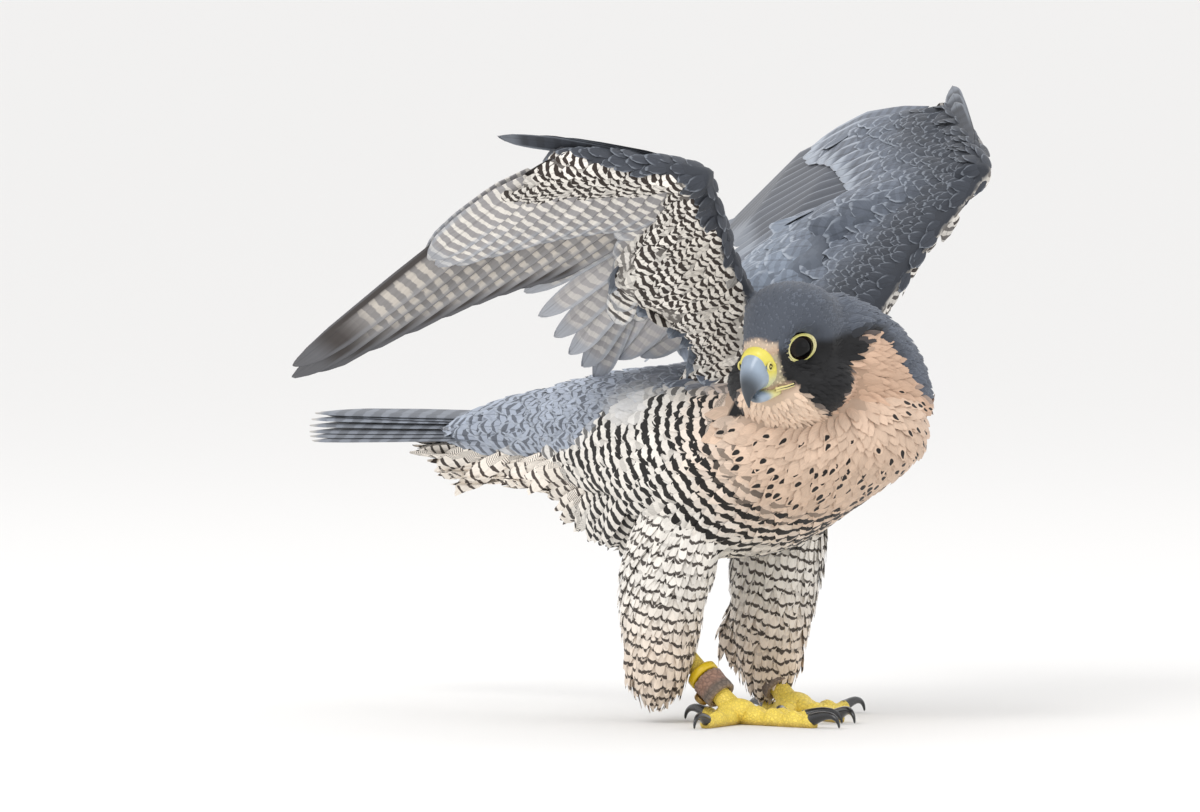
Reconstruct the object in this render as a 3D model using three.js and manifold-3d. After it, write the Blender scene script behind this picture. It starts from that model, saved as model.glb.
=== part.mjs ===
// Peregrine falcon, life size, standing with both wings half raised and its head turned to its right.
// Millimetres. The bird is laid out facing -Y with its left side at +X and its soles on Z = 0,
// and the finished group is then moved so that the middle of its base is the origin.

import * as THREE from 'three';
import { mergeVertices } from 'three/addons/utils/BufferGeometryUtils.js';
import Module from 'manifold-3d';

const wasm = await Module();
wasm.setup();

const at = (x, y, z) => new THREE.Vector3(x, y, z);

// Driving dimensions

const gap = 0.3;

// Trunk: distance along the body, height of the axis, half width, height above and below the axis.
const trunkStations = [
  [-90, 134, 9, 9, 8],
  [-85, 134, 22, 20, 15],
  [-74, 134, 34, 29, 20],
  [-56, 132, 45, 37, 28],
  [-34, 129, 52, 41, 37],
  [-6, 125, 57, 45, 48],
  [22, 123, 55, 46, 49],
  [48, 123, 49, 44, 44],
  [72, 125, 42, 39, 38],
  [96, 128, 34, 33, 32],
  [116, 130, 27, 27, 27],
  [132, 131, 22, 22, 23],
];
const trunkSides = 22;

// Neck: centre and radius, from inside the trunk to inside the head.
const neckStations = [
  [at(14, -48, 146), 36],
  [at(7, -52, 160), 33],
  [at(-9, -56, 171), 29],
  [at(-26, -57, 179), 25],
  [at(-35, -57, 182), 20],
];

// Head: its centre and the way it faces. Its sections are given along the line of sight.
const headCentre = at(-42.5, -56, 183.8);
const headForward = at(-0.94, -0.03, -0.34).normalize();
const headLeft = at(0.03, -1, 0).normalize();
const headUp = new THREE.Vector3().crossVectors(headForward, headLeft).normalize();
// Distance forward, height of the top and of the bottom, half width.
const headStations = [
  [-25, 5, -8, 8],
  [-21, 14, -16, 16],
  [-12, 21, -22, 22],
  [-1, 23.8, -24, 24],
  [8, 21.4, -23.5, 20.8],
  [15, 16, -22, 16.8],
  [20.5, 9.6, -20.5, 13],
  [25.5, 3.4, -19.5, 9.8],
];
const headSides = 18;
const faceEnd = 25.5;

const eye = { ahead: 11.5, high: -3, out: 16.8, radius: 7.6, disc: 5.9, lid: 1.2, turn: 0.42 };
const brow = { ahead: 12.5, high: 4.6, out: 15.2, long: 9.5, tall: 2.2, deep: 3.4 };
const gape = { from: 12.4, fromOut: 13.4, to: 26.5, toOut: 6.2, high: -17.2, slit: 0.7, deep: 1.6 };
const nostril = { ahead: 28, high: -5.4, out: 7.5, radius: 1.5, deep: 2.2, knob: 0.55 };

// Bill: for each section the upper edge and the lower edge, forward and up, and the half width.
const upperBillStations = [
  [26, 2.6, 25.8, -16.2, 9],
  [29.5, 1.2, 28.6, -16, 7.8],
  [33.4, -2, 31.6, -16, 6.4],
  [36.9, -6.4, 34, -16.4, 4.8],
  [39.2, -12, 36.2, -17.4, 3.1],
  [39.9, -17, 37.6, -18.2, 1.7],
  [39.4, -21.6, 38.9, -21.3, 0.5],
];
const cereEnd = 30.6;
const lowerBillStations = [
  [25.8, -16.9, 25.8, -21.8, 7.8],
  [30, -16.9, 30, -22.2, 6],
  [33.4, -17.4, 33.2, -21.6, 3.8],
  [35.2, -18.4, 35, -20.4, 1.6],
];

// Wings: joints, the outward side of the back of the wing, and the lie of the feathers, from the
// leading primary inwards and from the outer secondary inwards.
const wingPlans = {
  right: {
    side: -1,
    rootFront: at(-16, -50, 160),
    rootBack: at(-20, 26, 150),
    shoulder: at(-25, -25, 170),
    elbow: at(-70, 18, 208),
    wrist: at(-95, -51, 256),
    finger: at(-125, 18, 268),
    back: at(0.694, 0.18, 0.697).normalize(),
    camber: 0.0001,
    lowest: -5,
    slopes: [0, 0, 0.1],
    primaryLie: [at(0.2, 0.88, -0.42), at(0.18, 0.89, -0.42), at(0.14, 0.9, -0.41)],
    secondaryLie: [
      at(0.12, 0.9, -0.41), at(0.34, 0.86, -0.37), at(0.45, 0.79, -0.42), at(0.57, 0.7, -0.4),
    ],
    tertialLie: [at(0.5, 0.78, -0.34), at(0.34, 0.9, -0.24)],
    alulaTip: at(-133, 43, 276),
  },
  left: {
    side: 1,
    rootFront: at(16, -50, 160),
    rootBack: at(20, 26, 152),
    shoulder: at(25, -25, 170),
    elbow: at(72, 14, 212),
    wrist: at(95, -56, 254),
    finger: at(136, 0, 283),
    back: at(-0.718, 0.068, 0.692).normalize(),
    camber: 0.0016,
    lowest: -6,
    slopes: [0, 0, 0],
    primaryLie: [at(0.185, 0.96, -0.145), at(0.12, 0.975, -0.18), at(0.055, 0.985, -0.24)],
    secondaryLie: [
      at(0.055, 0.985, -0.24), at(0.03, 0.98, -0.25), at(0, 0.97, -0.27), at(-0.03, 0.96, -0.29),
    ],
    tertialLie: [at(-0.05, 0.95, -0.3), at(-0.08, 0.95, -0.3)],
    alulaTip: at(146, 9, 294),
  },
};

// Flight feathers lie flat over each other like roof tiles, the inner ones nearer to the back. The
// step is the least distance between the middles of two that overlap. The roots of each row run over
// these shares of the bone that they grow from.
const vaneThick = 0.52;
const tileStep = 0.84;
const flight = {
  lead: 4.5, trail: 9, handLead: 5, handTrail: 11,
  handRoots: [0.04, 0.92], armRoots: [0.06, 0.98], tertialRoots: [0.16, 0.62],
};

// Rows of coverts: the stretch of its flight feather that each lies on, as shares of its length, its
// half width, whether it lies over or under them, and how many flight feathers there are to each.
const covertRows = [
  { from: 0.03, to: 0.47, half: 8, over: true, every: 2 },
  { from: 0.03, to: 0.44, half: 8, over: false, every: 3 },
];

const primaryLengths = [232, 245, 238, 216, 196, 178, 164, 152, 143, 137];
const secondaryLengths = [144, 140, 136, 130, 123, 116];
const tertialLengths = [102, 92, 82];

const alula = {
  feathers: 3, from: 0.28, shorter: 0.16, step: 0.9, lift: 9, knuckle: 3, lead: 4.5, trail: 6.5, thick: 0.9,
};

// Tail: the place of its root, the spread at the root and tips, and the way its back faces.
const tail = {
  feathers: 12,
  root: at(0, 128, 131),
  rootSpread: 9,
  tip: at(0, 279, 130),
  tipSpread: 24,
  cornerShort: 15,
  back: at(-0.3, 0, 1).normalize(),
  camber: 0.0001,
  lowest: -3,
  lead: 4.5,
  trail: 9,
};

// Coverts over and under the tail, and the loose feathers that hang behind the belly.
const tailAprons = [
  {
    count: 3, root: at(0, 158, 146), tip: at(0, 206, 139), rootSpread: 9, tipSpread: 12, half: 6.5,
    thick: 0.9, back: at(0, 0, 1),
  },
  {
    count: 3, root: at(0, 150, 113), tip: at(0, 206, 118), rootSpread: 10, tipSpread: 11, half: 7,
    thick: 0.9, back: at(0, 0, -1),
  },
];
const bellyAprons = [
  {
    count: 4, root: at(0, 104, 107), tip: at(0, 152, 95), rootSpread: 14, tipSpread: 14, half: 6.5,
    thick: 1.2, back: at(0, -0.2, -1).normalize(),
  },
  {
    count: 4, root: at(0, 60, 92), tip: at(0, 86, 66), rootSpread: 21, tipSpread: 21, half: 8,
    thick: 1.4, back: at(0, -0.7, -0.7).normalize(),
  },
];

// Legs: middle of each foot on the floor, the ankle, and the middle of the feathered thigh.
const legs = {
  right: {
    side: -1, toeIn: 0, outerTurn: -72,
    foot: at(-20.5, -4.3, 0), ankle: at(-24, 36, 40), thigh: at(-38, 26, 60),
  },
  left: {
    side: 1, toeIn: 22, outerTurn: -112,
    foot: at(36, 10.5, 0), ankle: at(36, 47, 40), thigh: at(38, 24, 60),
  },
};

// Height, offset from the middle of the thigh, and half sizes across and along the body.
const thighStations = [
  [104, 7, -10, 19, 30],
  [84, 3, -5, 21, 29],
  [62, 0, 0, 21.5, 26],
  [42, 0, 2, 20, 22],
  [26, 0, 3, 17, 18],
  [19, 0, 3, 11, 12],
];

// Hanging locks of the thigh: how many, their heights, and the half sizes of the rings that they start
// and end on. Alternate rows are half a step round from each other.
const thighLocks = [
  {
    count: 5, turn: 0.5, top: 72, bottom: 36, wide: 18, deep: 22, tipWide: 21, tipDeep: 25,
    half: 10, back: 1,
  },
  {
    count: 5, turn: 0, top: 42, bottom: 11, wide: 15, deep: 17.5, tipWide: 17, tipDeep: 20,
    half: 10, back: 3,
  },
];

// Toes: angle from straight ahead towards the inner side, length, radius at the root and at the end.
const toes = {
  middle: { turn: 0, length: 47, thick: 5, thin: 3.7, claw: 19 },
  inner: { turn: 36, length: 33, thick: 4.9, thin: 3.7, claw: 19 },
  outer: { length: 37, thick: 4.5, thin: 3.4, claw: 16 },
  hind: { turn: 172, length: 22, thick: 4.8, thin: 3.8, claw: 19 },
};
const clawTip = { high: 0.1, radius: 0.55 };
const tarsusRadius = 4.4;
const cuff = { start: 8.5, length: 12, inner: 5, outer: 7.8 };
const legRing = { length: 4, inner: 5, outer: 7.6 };
const eyelet = { outer: 3.6, inner: 1.7, thick: 2.6, high: 8 };

// Shapes

function fromFaces(points, faces) {
  let volume = 0;
  for (let i = 0; i < faces.length; i += 3) {
    const [a, b, c] = [points[faces[i]], points[faces[i + 1]], points[faces[i + 2]]];
    volume += a.dot(new THREE.Vector3().crossVectors(b, c));
  }
  if (volume < 0) faces.reverse();
  return new wasm.Manifold(new wasm.Mesh({
    numProp: 3,
    vertProperties: new Float32Array(points.flatMap((point) => point.toArray())),
    triVerts: new Uint32Array(faces),
  }));
}

// A body skinned over closed rings, with a point in the middle of each end.
function loft(rings) {
  const sides = rings[0].length;
  const points = rings.flat();
  const faces = [];
  for (let i = 0; i + 1 < rings.length; i++) {
    for (let j = 0; j < sides; j++) {
      const a = i * sides + j;
      const b = i * sides + ((j + 1) % sides);
      faces.push(a, b, b + sides, a, b + sides, a + sides);
    }
  }
  for (const first of [0, points.length - sides]) {
    const middle = at(0, 0, 0);
    for (let j = 0; j < sides; j++) middle.add(points[first + j]);
    points.push(middle.divideScalar(sides));
    for (let j = 0; j < sides; j++) {
      const pair = [first + j, first + ((j + 1) % sides)];
      if (first === 0) pair.reverse();
      faces.push(points.length - 1, ...pair);
    }
  }
  return fromFaces(points, faces);
}

// A thin body between two sheets of points, split into triangles alike on both faces.
function between(upper, lower) {
  const across = upper[0].length;
  const points = [...upper.flat(), ...lower.flat()];
  const below = upper.length * across;
  const faces = [];
  for (let i = 0; i + 1 < upper.length; i++) {
    for (let j = 0; j + 1 < across; j++) {
      const [a, b] = [i * across + j, i * across + j + 1];
      const [c, d] = [a + across, b + across];
      faces.push(a, b, d, a, d, c);
      faces.push(below + a, below + d, below + b, below + a, below + c, below + d);
    }
  }
  const rim = [];
  for (let j = 0; j < across; j++) rim.push(j);
  for (let i = 1; i < upper.length; i++) rim.push(i * across + across - 1);
  for (let j = across - 2; j >= 0; j--) rim.push((upper.length - 1) * across + j);
  for (let i = upper.length - 2; i > 0; i--) rim.push(i * across);
  rim.forEach((a, i) => {
    const b = rim[(i + 1) % rim.length];
    faces.push(b, a, below + a, b, below + a, below + b);
  });
  return fromFaces(points, faces);
}

function fromGeometry(geometry, matrix) {
  const plain = geometry.clone();
  plain.deleteAttribute('normal');
  plain.deleteAttribute('uv');
  if (matrix) plain.applyMatrix4(matrix);
  const merged = mergeVertices(plain, 1e-4);
  const points = [];
  for (let i = 0; i < merged.attributes.position.count; i++) {
    points.push(new THREE.Vector3().fromBufferAttribute(merged.attributes.position, i));
  }
  return fromFaces(points, Array.from(merged.index.array));
}

// A ring of points about a centre, with its two half axes as vectors.
function ring(centre, wide, tall, sides) {
  const points = [];
  for (let i = 0; i < sides; i++) {
    const angle = (2 * Math.PI * i) / sides;
    points.push(centre.clone()
      .addScaledVector(wide, Math.cos(angle))
      .addScaledVector(tall, Math.sin(angle)));
  }
  return points;
}

// A round tube through given centres, each with its radius.
function tube(stations, sides) {
  let wide = null;
  const rings = stations.map(([centre, radius], i) => {
    const before = stations[Math.max(i - 1, 0)][0];
    const after = stations[Math.min(i + 1, stations.length - 1)][0];
    const along = after.clone().sub(before).normalize();
    if (!wide) wide = Math.abs(along.z) > 0.9 ? at(1, 0, 0) : at(0, 0, 1);
    wide.addScaledVector(along, -wide.dot(along)).normalize();
    const tall = new THREE.Vector3().crossVectors(along, wide);
    return ring(centre, wide.clone().multiplyScalar(radius), tall.multiplyScalar(radius), sides);
  });
  return loft(rings);
}

function frameMatrix(origin, xAxis, yAxis, zAxis) {
  return new THREE.Matrix4().makeBasis(xAxis, yAxis, zAxis).setPosition(origin);
}

const join = (bodies) => bodies.reduce((whole, body) => whole.add(body));
const cut = (body, tools) => tools.reduce((rest, tool) => rest.subtract(tool), body);

// A direction part of the way along a list of directions.
function along(list, t) {
  const place = t * (list.length - 1);
  const i = Math.min(Math.floor(place), list.length - 2);
  return list[i].clone().lerp(list[i + 1], place - i).normalize();
}

const group = new THREE.Group();

// The largest closed surface of a body, as a named mesh.
function addNode(name, body, colour, roughness, metalness = 0) {
  const pieces = body.decompose();
  const largest = pieces.reduce((best, piece) => (piece.volume() > best.volume() ? piece : best));
  const { vertProperties, triVerts, numProp } = largest.getMesh();
  const geometry = new THREE.BufferGeometry();
  const positions = new Float32Array((vertProperties.length / numProp) * 3);
  for (let i = 0; i < positions.length / 3; i++) {
    for (let k = 0; k < 3; k++) positions[i * 3 + k] = vertProperties[i * numProp + k];
  }
  geometry.setAttribute('position', new THREE.BufferAttribute(positions, 3));
  geometry.setIndex(Array.from(triVerts));
  geometry.computeVertexNormals();
  const material = new THREE.MeshStandardMaterial({ color: colour, roughness, metalness });
  const mesh = new THREE.Mesh(geometry, material);
  mesh.name = name;
  group.add(mesh);
}

// Trunk and neck

function makeTrunk(grow = 0) {
  return loft(trunkStations.map(([y, z, wide, above, below], index) => {
    const end = index === 0 ? -grow : index === trunkStations.length - 1 ? grow : 0;
    const points = [];
    for (let i = 0; i < trunkSides; i++) {
      const angle = (2 * Math.PI * i) / trunkSides;
      const high = Math.sin(angle) * ((Math.sin(angle) > 0 ? above : below) + grow);
      points.push(at(Math.cos(angle) * (wide + grow), y + end, z + high));
    }
    return points;
  }));
}

function makeNeck(grow = 0) {
  return tube(neckStations.map(([centre, radius]) => [centre, radius + grow]), 14);
}

// Head

function headPoint(ahead, out, high) {
  return headCentre.clone()
    .addScaledVector(headForward, ahead)
    .addScaledVector(headLeft, out)
    .addScaledVector(headUp, high);
}

// A rounded section of the head, a little squarer than an ellipse.
function makeSkull(grow = 0) {
  const square = 0.86;
  const bend = (value) => Math.sign(value) * Math.abs(value) ** square;
  return loft(headStations.map(([ahead, top, bottom, wide], index) => {
    const end = index === 0 ? -grow : index === headStations.length - 1 ? grow : 0;
    const middle = (top + bottom) / 2;
    const tall = (top - bottom) / 2 + grow;
    const points = [];
    for (let i = 0; i < headSides; i++) {
      const angle = (2 * Math.PI * i) / headSides;
      const out = bend(Math.cos(angle)) * (wide + grow);
      points.push(headPoint(ahead + end, out, middle + bend(Math.sin(angle)) * tall));
    }
    return points;
  }));
}

function eyeFrame(side) {
  const look = headLeft.clone().multiplyScalar(side).addScaledVector(headForward, eye.turn).normalize();
  const high = headUp.clone().addScaledVector(look, -headUp.dot(look)).normalize();
  const across = new THREE.Vector3().crossVectors(high, look);
  const front = headPoint(eye.ahead, side * eye.out, eye.high);
  return { look, high, across, centre: front.addScaledVector(look, -eye.radius) };
}

function makeEye(side, grow = 0, sides = 12) {
  const { look, high, across, centre } = eyeFrame(side);
  const ball = new THREE.SphereGeometry(eye.radius + grow, sides, sides / 2 + 2);
  return fromGeometry(ball, frameMatrix(centre, across, high, look));
}

// The rim of both lids, a soft ring lying on the eyeball, a little longer than tall.
function makeLids(side) {
  const { look, high, across, centre } = eyeFrame(side);
  const depth = Math.sqrt(eye.radius ** 2 - eye.disc ** 2);
  const ringGeometry = new THREE.TorusGeometry(eye.disc + eye.lid, eye.lid, 5, 14);
  ringGeometry.scale(1.06, 0.97, 1);
  centre.addScaledVector(look, depth - 0.2);
  return fromGeometry(ringGeometry, frameMatrix(centre, across, high, look));
}

// The hollow before the eyeball that the lids line.
function makeSocket(side) {
  const { look, high, across, centre } = eyeFrame(side);
  const reach = 14;
  const opening = new THREE.CylinderGeometry(eye.disc + 2 * eye.lid, eye.disc + eye.lid, reach, 14);
  const middle = centre.clone().addScaledVector(look, 3 + reach / 2);
  return fromGeometry(opening, frameMatrix(middle, across, look, high.clone().negate()));
}

function makeBrow(side) {
  const { look, high, across } = eyeFrame(side);
  const shape = new THREE.SphereGeometry(1, 8, 5);
  shape.scale(brow.long, brow.tall, brow.deep);
  shape.rotateZ(side * -0.12);
  const centre = headPoint(brow.ahead, side * brow.out, brow.high);
  return fromGeometry(shape, frameMatrix(centre, across, high, look));
}

// The corner of the mouth runs back below the eye as a narrow slit in the cheek.
function makeGapeLine(side) {
  const start = headPoint(gape.from, side * gape.fromOut, gape.high);
  const end = headPoint(gape.to, side * gape.toOut, gape.high);
  const run = end.clone().sub(start);
  const plate = new THREE.BoxGeometry(run.length(), gape.deep * 2, gape.slit);
  const ahead = run.clone().normalize();
  const out = new THREE.Vector3().crossVectors(headUp, ahead).normalize();
  return fromGeometry(plate, frameMatrix(start.lerp(end, 0.5), ahead, out, headUp));
}

function makeBillBody(stations, grow = 0) {
  return loft(stations.map(([topAhead, topHigh, lowAhead, lowHigh, wide]) => {
    const middle = headPoint((topAhead + lowAhead) / 2, 0, (topHigh + lowHigh) / 2);
    const tall = headPoint(topAhead, 0, topHigh).sub(middle);
    tall.setLength(tall.length() + grow);
    return ring(middle, headLeft.clone().multiplyScalar(wide + grow), tall, 16);
  }));
}

function frontBlock(start) {
  const size = 60;
  const block = new THREE.BoxGeometry(size, size, size);
  const centre = headPoint(start + size / 2, 0, -10);
  return fromGeometry(block, frameMatrix(centre, headForward, headLeft, headUp));
}

function makeNostril(side) {
  const hole = new THREE.CylinderGeometry(nostril.radius, nostril.radius, nostril.deep * 2, 12);
  const centre = headPoint(nostril.ahead, side * nostril.out, nostril.high);
  const matrix = frameMatrix(centre, headForward, headLeft, headUp);
  const knob = new THREE.CylinderGeometry(nostril.knob, nostril.knob, nostril.deep * 1.6, 6);
  return fromGeometry(hole, matrix).subtract(fromGeometry(knob, matrix));
}

// Wings

const spanBlend = (a, b, t) => a.clone().lerp(b, t);

function wingAxes(plan) {
  const chord = plan.elbow.clone().sub(spanBlend(plan.shoulder, plan.wrist, 0.5));
  const back = plan.back.clone();
  const aft = chord.addScaledVector(back, -chord.dot(back)).normalize();
  return { back, aft };
}

// The feathered flesh from the body to the wrist, with the fold of skin before the elbow.
function makeArm(plan, grow = 0) {
  const { back, aft } = wingAxes(plan);
  const leading = (t, ahead) => spanBlend(plan.shoulder, plan.wrist, t).addScaledVector(aft, -ahead);
  const trailing = (point, behind) => point.addScaledVector(aft, behind);
  // The leading and trailing edge of each section, and its thickness below and above them.
  const sections = [
    [plan.rootFront, plan.rootBack, 8, 10],
    [leading(0.12, 13), trailing(spanBlend(plan.shoulder, plan.elbow, 0.25), 22), 9, 14],
    [leading(0.32, 7), trailing(spanBlend(plan.shoulder, plan.elbow, 0.66), 16), 8, 15],
    [leading(0.52, 5), trailing(plan.elbow.clone(), 12), 7, 13],
    [leading(0.74, 5), trailing(spanBlend(plan.elbow, plan.wrist, 0.42), 12), 7, 10],
    [leading(0.92, 5), trailing(spanBlend(plan.elbow, plan.wrist, 0.8), 12), 6, 8],
    [leading(1.03, 2), trailing(plan.wrist.clone(), 10), 5, 5],
  ];
  const outward = plan.wrist.clone().sub(plan.elbow).normalize();
  return loft(sections.map(([front, rear, below, above], index) => {
    const middle = spanBlend(front, rear, 0.5);
    if (index === sections.length - 1) middle.addScaledVector(outward, grow);
    const wide = front.clone().sub(middle);
    wide.setLength(wide.length() + grow);
    const tall = back.clone().addScaledVector(wide, -back.dot(wide) / wide.lengthSq()).normalize();
    return ring(middle, wide, tall, 14).map((point) => {
      const high = point.clone().sub(middle).dot(tall);
      return point.addScaledVector(tall, high * ((high > 0 ? above : below) + grow - 1));
    });
  }));
}

function makeHand(plan, grow = 0) {
  const { back, aft } = wingAxes(plan);
  const reach = plan.finger.clone().sub(plan.wrist).normalize();
  const side = new THREE.Vector3().crossVectors(back, reach).normalize();
  if (side.dot(aft) < 0) side.negate();
  const stations = [[-2, 7, 6.5], [12, 9.5, 7], [34, 9, 6.6], [58, 7, 5.8], [76, 4.5, 3.8]];
  return loft(stations.map(([reached, wide, thick]) => {
    const middle = plan.wrist.clone().addScaledVector(reach, reached).addScaledVector(side, 2);
    middle.addScaledVector(back, -2);
    const halfWide = side.clone().multiplyScalar(wide + grow);
    return ring(middle, halfWide, back.clone().multiplyScalar(thick + grow), 12);
  }));
}

// The value at a place along straight pieces between given [place, value] pairs.
function pieceAt(pairs, place) {
  const next = pairs.findIndex(([start]) => place < start);
  const k = next < 0 ? pairs.length - 1 : Math.max(next, 1);
  const [[a, low], [b, high]] = [pairs[k - 1], pairs[k]];
  return THREE.MathUtils.mapLinear(place, a, b, low, high);
}

// A flat sheet on which vanes are laid out: across it, aft along it, and up from it. Its camber is the
// same for all vanes, in straight pieces between lines across the sheet.
function makeSheet(origin, up, lie, camber) {
  const aft = lie.clone().addScaledVector(up, -lie.dot(up)).normalize();
  const across = new THREE.Vector3().crossVectors(up, aft);
  const bends = [-60, 0, 60, 120, 180];
  const profile = bends.map((far) => [far, -camber * (far - 40) ** 2]);
  const flatten = (point) => {
    const offset = point.clone().sub(origin);
    return { across: offset.dot(across), aft: offset.dot(aft) };
  };
  const toSpace = (wide, far, high) => origin.clone()
    .addScaledVector(across, wide)
    .addScaledVector(aft, far)
    .addScaledVector(up, high + pieceAt(profile, far));
  return { bends, flatten, toSpace };
}

// Share of the width at each share of the length of a vane, from its root to its rounded tip.
const longVane = [[0, 0.35], [0.25, 0.95], [0.84, 0.86], [0.95, 0.55], [1, 0.2]];
const shortVane = [[0, 0.6], [0.6, 1], [0.86, 0.75], [1, 0.3]];

// A vane on a sheet: where it starts and ends, and its slope up from the sheet.
function layVane(sheet, { root, tip, slope, lead, trail, shape }) {
  const start = sheet.flatten(root);
  const end = sheet.flatten(tip);
  const long = end.aft - start.aft;
  const widen = Math.hypot(long, end.across - start.across) / long;
  const edges = (t) => {
    const middle = THREE.MathUtils.lerp(start.across, end.across, t);
    const share = pieceAt(shape, THREE.MathUtils.clamp(t, 0, 1)) * widen;
    return [middle + lead * share, middle - trail * share];
  };
  return { start, long, slope, shape, edges, height: 0 };
}

const vaneHeight = (vane, far) => vane.height + vane.slope * far;

// Raises a vane until it lies a step over all the others that it overlaps, or lowers it under them.
function stackVane(vane, others, over = true) {
  const sense = over ? 1 : -1;
  const clear = 0.6;
  const spacing = 2;
  let height = -Infinity;
  for (const other of others) {
    const first = Math.max(vane.start.aft, other.start.aft);
    const last = Math.min(vane.start.aft + vane.long, other.start.aft + other.long);
    for (let far = first; far <= last; far += spacing) {
      const [a, b] = vane.edges((far - vane.start.aft) / vane.long);
      const [c, d] = other.edges((far - other.start.aft) / other.long);
      const apart = Math.max(Math.min(a, b) - Math.max(c, d), Math.min(c, d) - Math.max(a, b));
      const needed = sense * (vaneHeight(other, far) - vane.slope * far) + tileStep;
      if (apart < clear) height = Math.max(height, needed);
    }
  }
  if (height > -Infinity) vane.height = sense * height;
  return vane;
}

// The solid of a vane, with a line of points at each change of width and at each bend of the sheet.
function vaneBody(sheet, vane, grow = 0) {
  const places = vane.shape.map(([t]) => t);
  const shortest = 6 / vane.long;
  for (const bend of sheet.bends) {
    const t = (bend - vane.start.aft) / vane.long;
    const near = places.findIndex((place) => Math.abs(place - t) < shortest);
    if (t <= shortest || t >= 1 - shortest) continue;
    if (near < 0) places.push(t);
    else places[near] = t;
  }
  places.sort((a, b) => a - b);
  const upper = [];
  const lower = [];
  for (const t of places) {
    const far = vane.start.aft + vane.long * t;
    const half = (vaneThick / 2) * (t === 1 ? 0.6 : 1) + grow;
    const [a, b] = vane.edges(t);
    const wide = [a + Math.sign(a - b) * grow, b - Math.sign(a - b) * grow];
    upper.push(wide.map((across) => sheet.toSpace(across, far, vaneHeight(vane, far) + half)));
    lower.push(wide.map((across) => sheet.toSpace(across, far, vaneHeight(vane, far) - half)));
  }
  return between(upper, lower);
}

// The feathers of one wing in order from the leading primary to the innermost, laid on its sheet, then
// the coverts over and under them.
function layWing(plan) {
  const sheet = makeSheet(plan.wrist, plan.back, along(plan.primaryLie, 0.5), plan.camber);
  const flights = [];
  const addRow = (lengths, hand, [from, to, first, last], lies, slopes) => lengths.forEach((length, i) => {
    const t = i / (lengths.length - 1);
    const root = spanBlend(from, to, THREE.MathUtils.lerp(first, last, t));
    const lie = along(lies, t);
    const [lead, trail] = hand ? [flight.handLead, flight.handTrail] : [flight.lead, flight.trail];
    const tip = root.clone().addScaledVector(lie, length);
    const slope = THREE.MathUtils.lerp(...slopes, t);
    const vane = layVane(sheet, {
      root, tip, slope, lead: -plan.side * lead, trail: -plan.side * trail, shape: longVane,
    });
    if (flights.length === 0) vane.height = plan.lowest - slope * vane.start.aft;
    flights.push({ ...stackVane(vane, flights), hand, root, tip });
  });
  const [outerSlope, middleSlope, innerSlope] = plan.slopes;
  const handRoots = [plan.finger, plan.wrist, ...flight.handRoots];
  const armRoots = [plan.wrist, plan.elbow, ...flight.armRoots];
  const tertialRoots = [plan.elbow, plan.shoulder, ...flight.tertialRoots];
  addRow(primaryLengths, true, handRoots, plan.primaryLie, [outerSlope, middleSlope]);
  addRow(secondaryLengths, false, armRoots, plan.secondaryLie, [middleSlope, innerSlope]);
  addRow(tertialLengths, false, tertialRoots, plan.tertialLie, [innerSlope, innerSlope]);
  const over = [...flights];
  const under = [...flights];
  for (const row of covertRows) {
    const placed = row.over ? over : under;
    const order = row.over ? flights : [...flights].reverse();
    for (const { root, tip, slope, hand } of order.filter((feather, i) => i % row.every === 0)) {
      const vane = layVane(sheet, {
        root: spanBlend(root, tip, row.from), tip: spanBlend(root, tip, row.to), slope,
        lead: -plan.side * row.half, trail: -plan.side * row.half, shape: shortVane,
      });
      placed.push({ ...stackVane(vane, placed, row.over), hand });
    }
  }
  return { sheet, flights, vanes: [...over, ...under.slice(flights.length)] };
}

// A free vane, bowed towards its back and rolled about its shaft.
function makeVane({ root, tip, back, side, lead, trail, bow, thick, shape = longVane, roll = 0 }) {
  const reach = tip.clone().sub(root);
  const length = reach.length();
  const ahead = reach.clone().normalize();
  const flat = new THREE.Vector3().crossVectors(back, ahead).multiplyScalar(-side).normalize();
  const up = back.clone().addScaledVector(ahead, -back.dot(ahead)).normalize();
  const across = flat.clone().multiplyScalar(Math.cos(roll)).addScaledVector(up, Math.sin(roll));
  const normal = up.clone().multiplyScalar(Math.cos(roll)).addScaledVector(flat, -Math.sin(roll));
  const upper = [];
  const lower = [];
  for (const [t, share] of shape) {
    const middle = root.clone().addScaledVector(reach, t);
    middle.addScaledVector(up, 4 * bow * length * t * (1 - t));
    const half = (thick / 2) * (1 - 0.3 * t);
    const widths = [lead * share, -trail * share];
    const edges = widths.map((width) => middle.clone().addScaledVector(across, width));
    upper.push(edges.map((point) => point.clone().addScaledVector(normal, half)));
    lower.push(edges.map((point) => point.clone().addScaledVector(normal, -half)));
  }
  return between(upper, lower);
}

// The small stiff feathers of the thumb, on the leading edge just past the wrist.
function makeAlula(plan) {
  const { back } = wingAxes(plan);
  const { lead, trail, thick } = alula;
  const root = spanBlend(plan.wrist, plan.finger, alula.from).addScaledVector(back, alula.lift);
  const knuckle = new THREE.SphereGeometry(alula.knuckle, 7, 5);
  const bodies = [fromGeometry(knuckle, new THREE.Matrix4().setPosition(root))];
  for (let i = 0; i < alula.feathers; i++) {
    const tip = root.clone().lerp(plan.alulaTip, 1 - alula.shorter * i);
    tip.addScaledVector(back, alula.step * i);
    bodies.push(makeVane({ root, tip, back, side: plan.side, lead, trail, thick, bow: 0.05 }));
  }
  return join(bodies);
}

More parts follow.
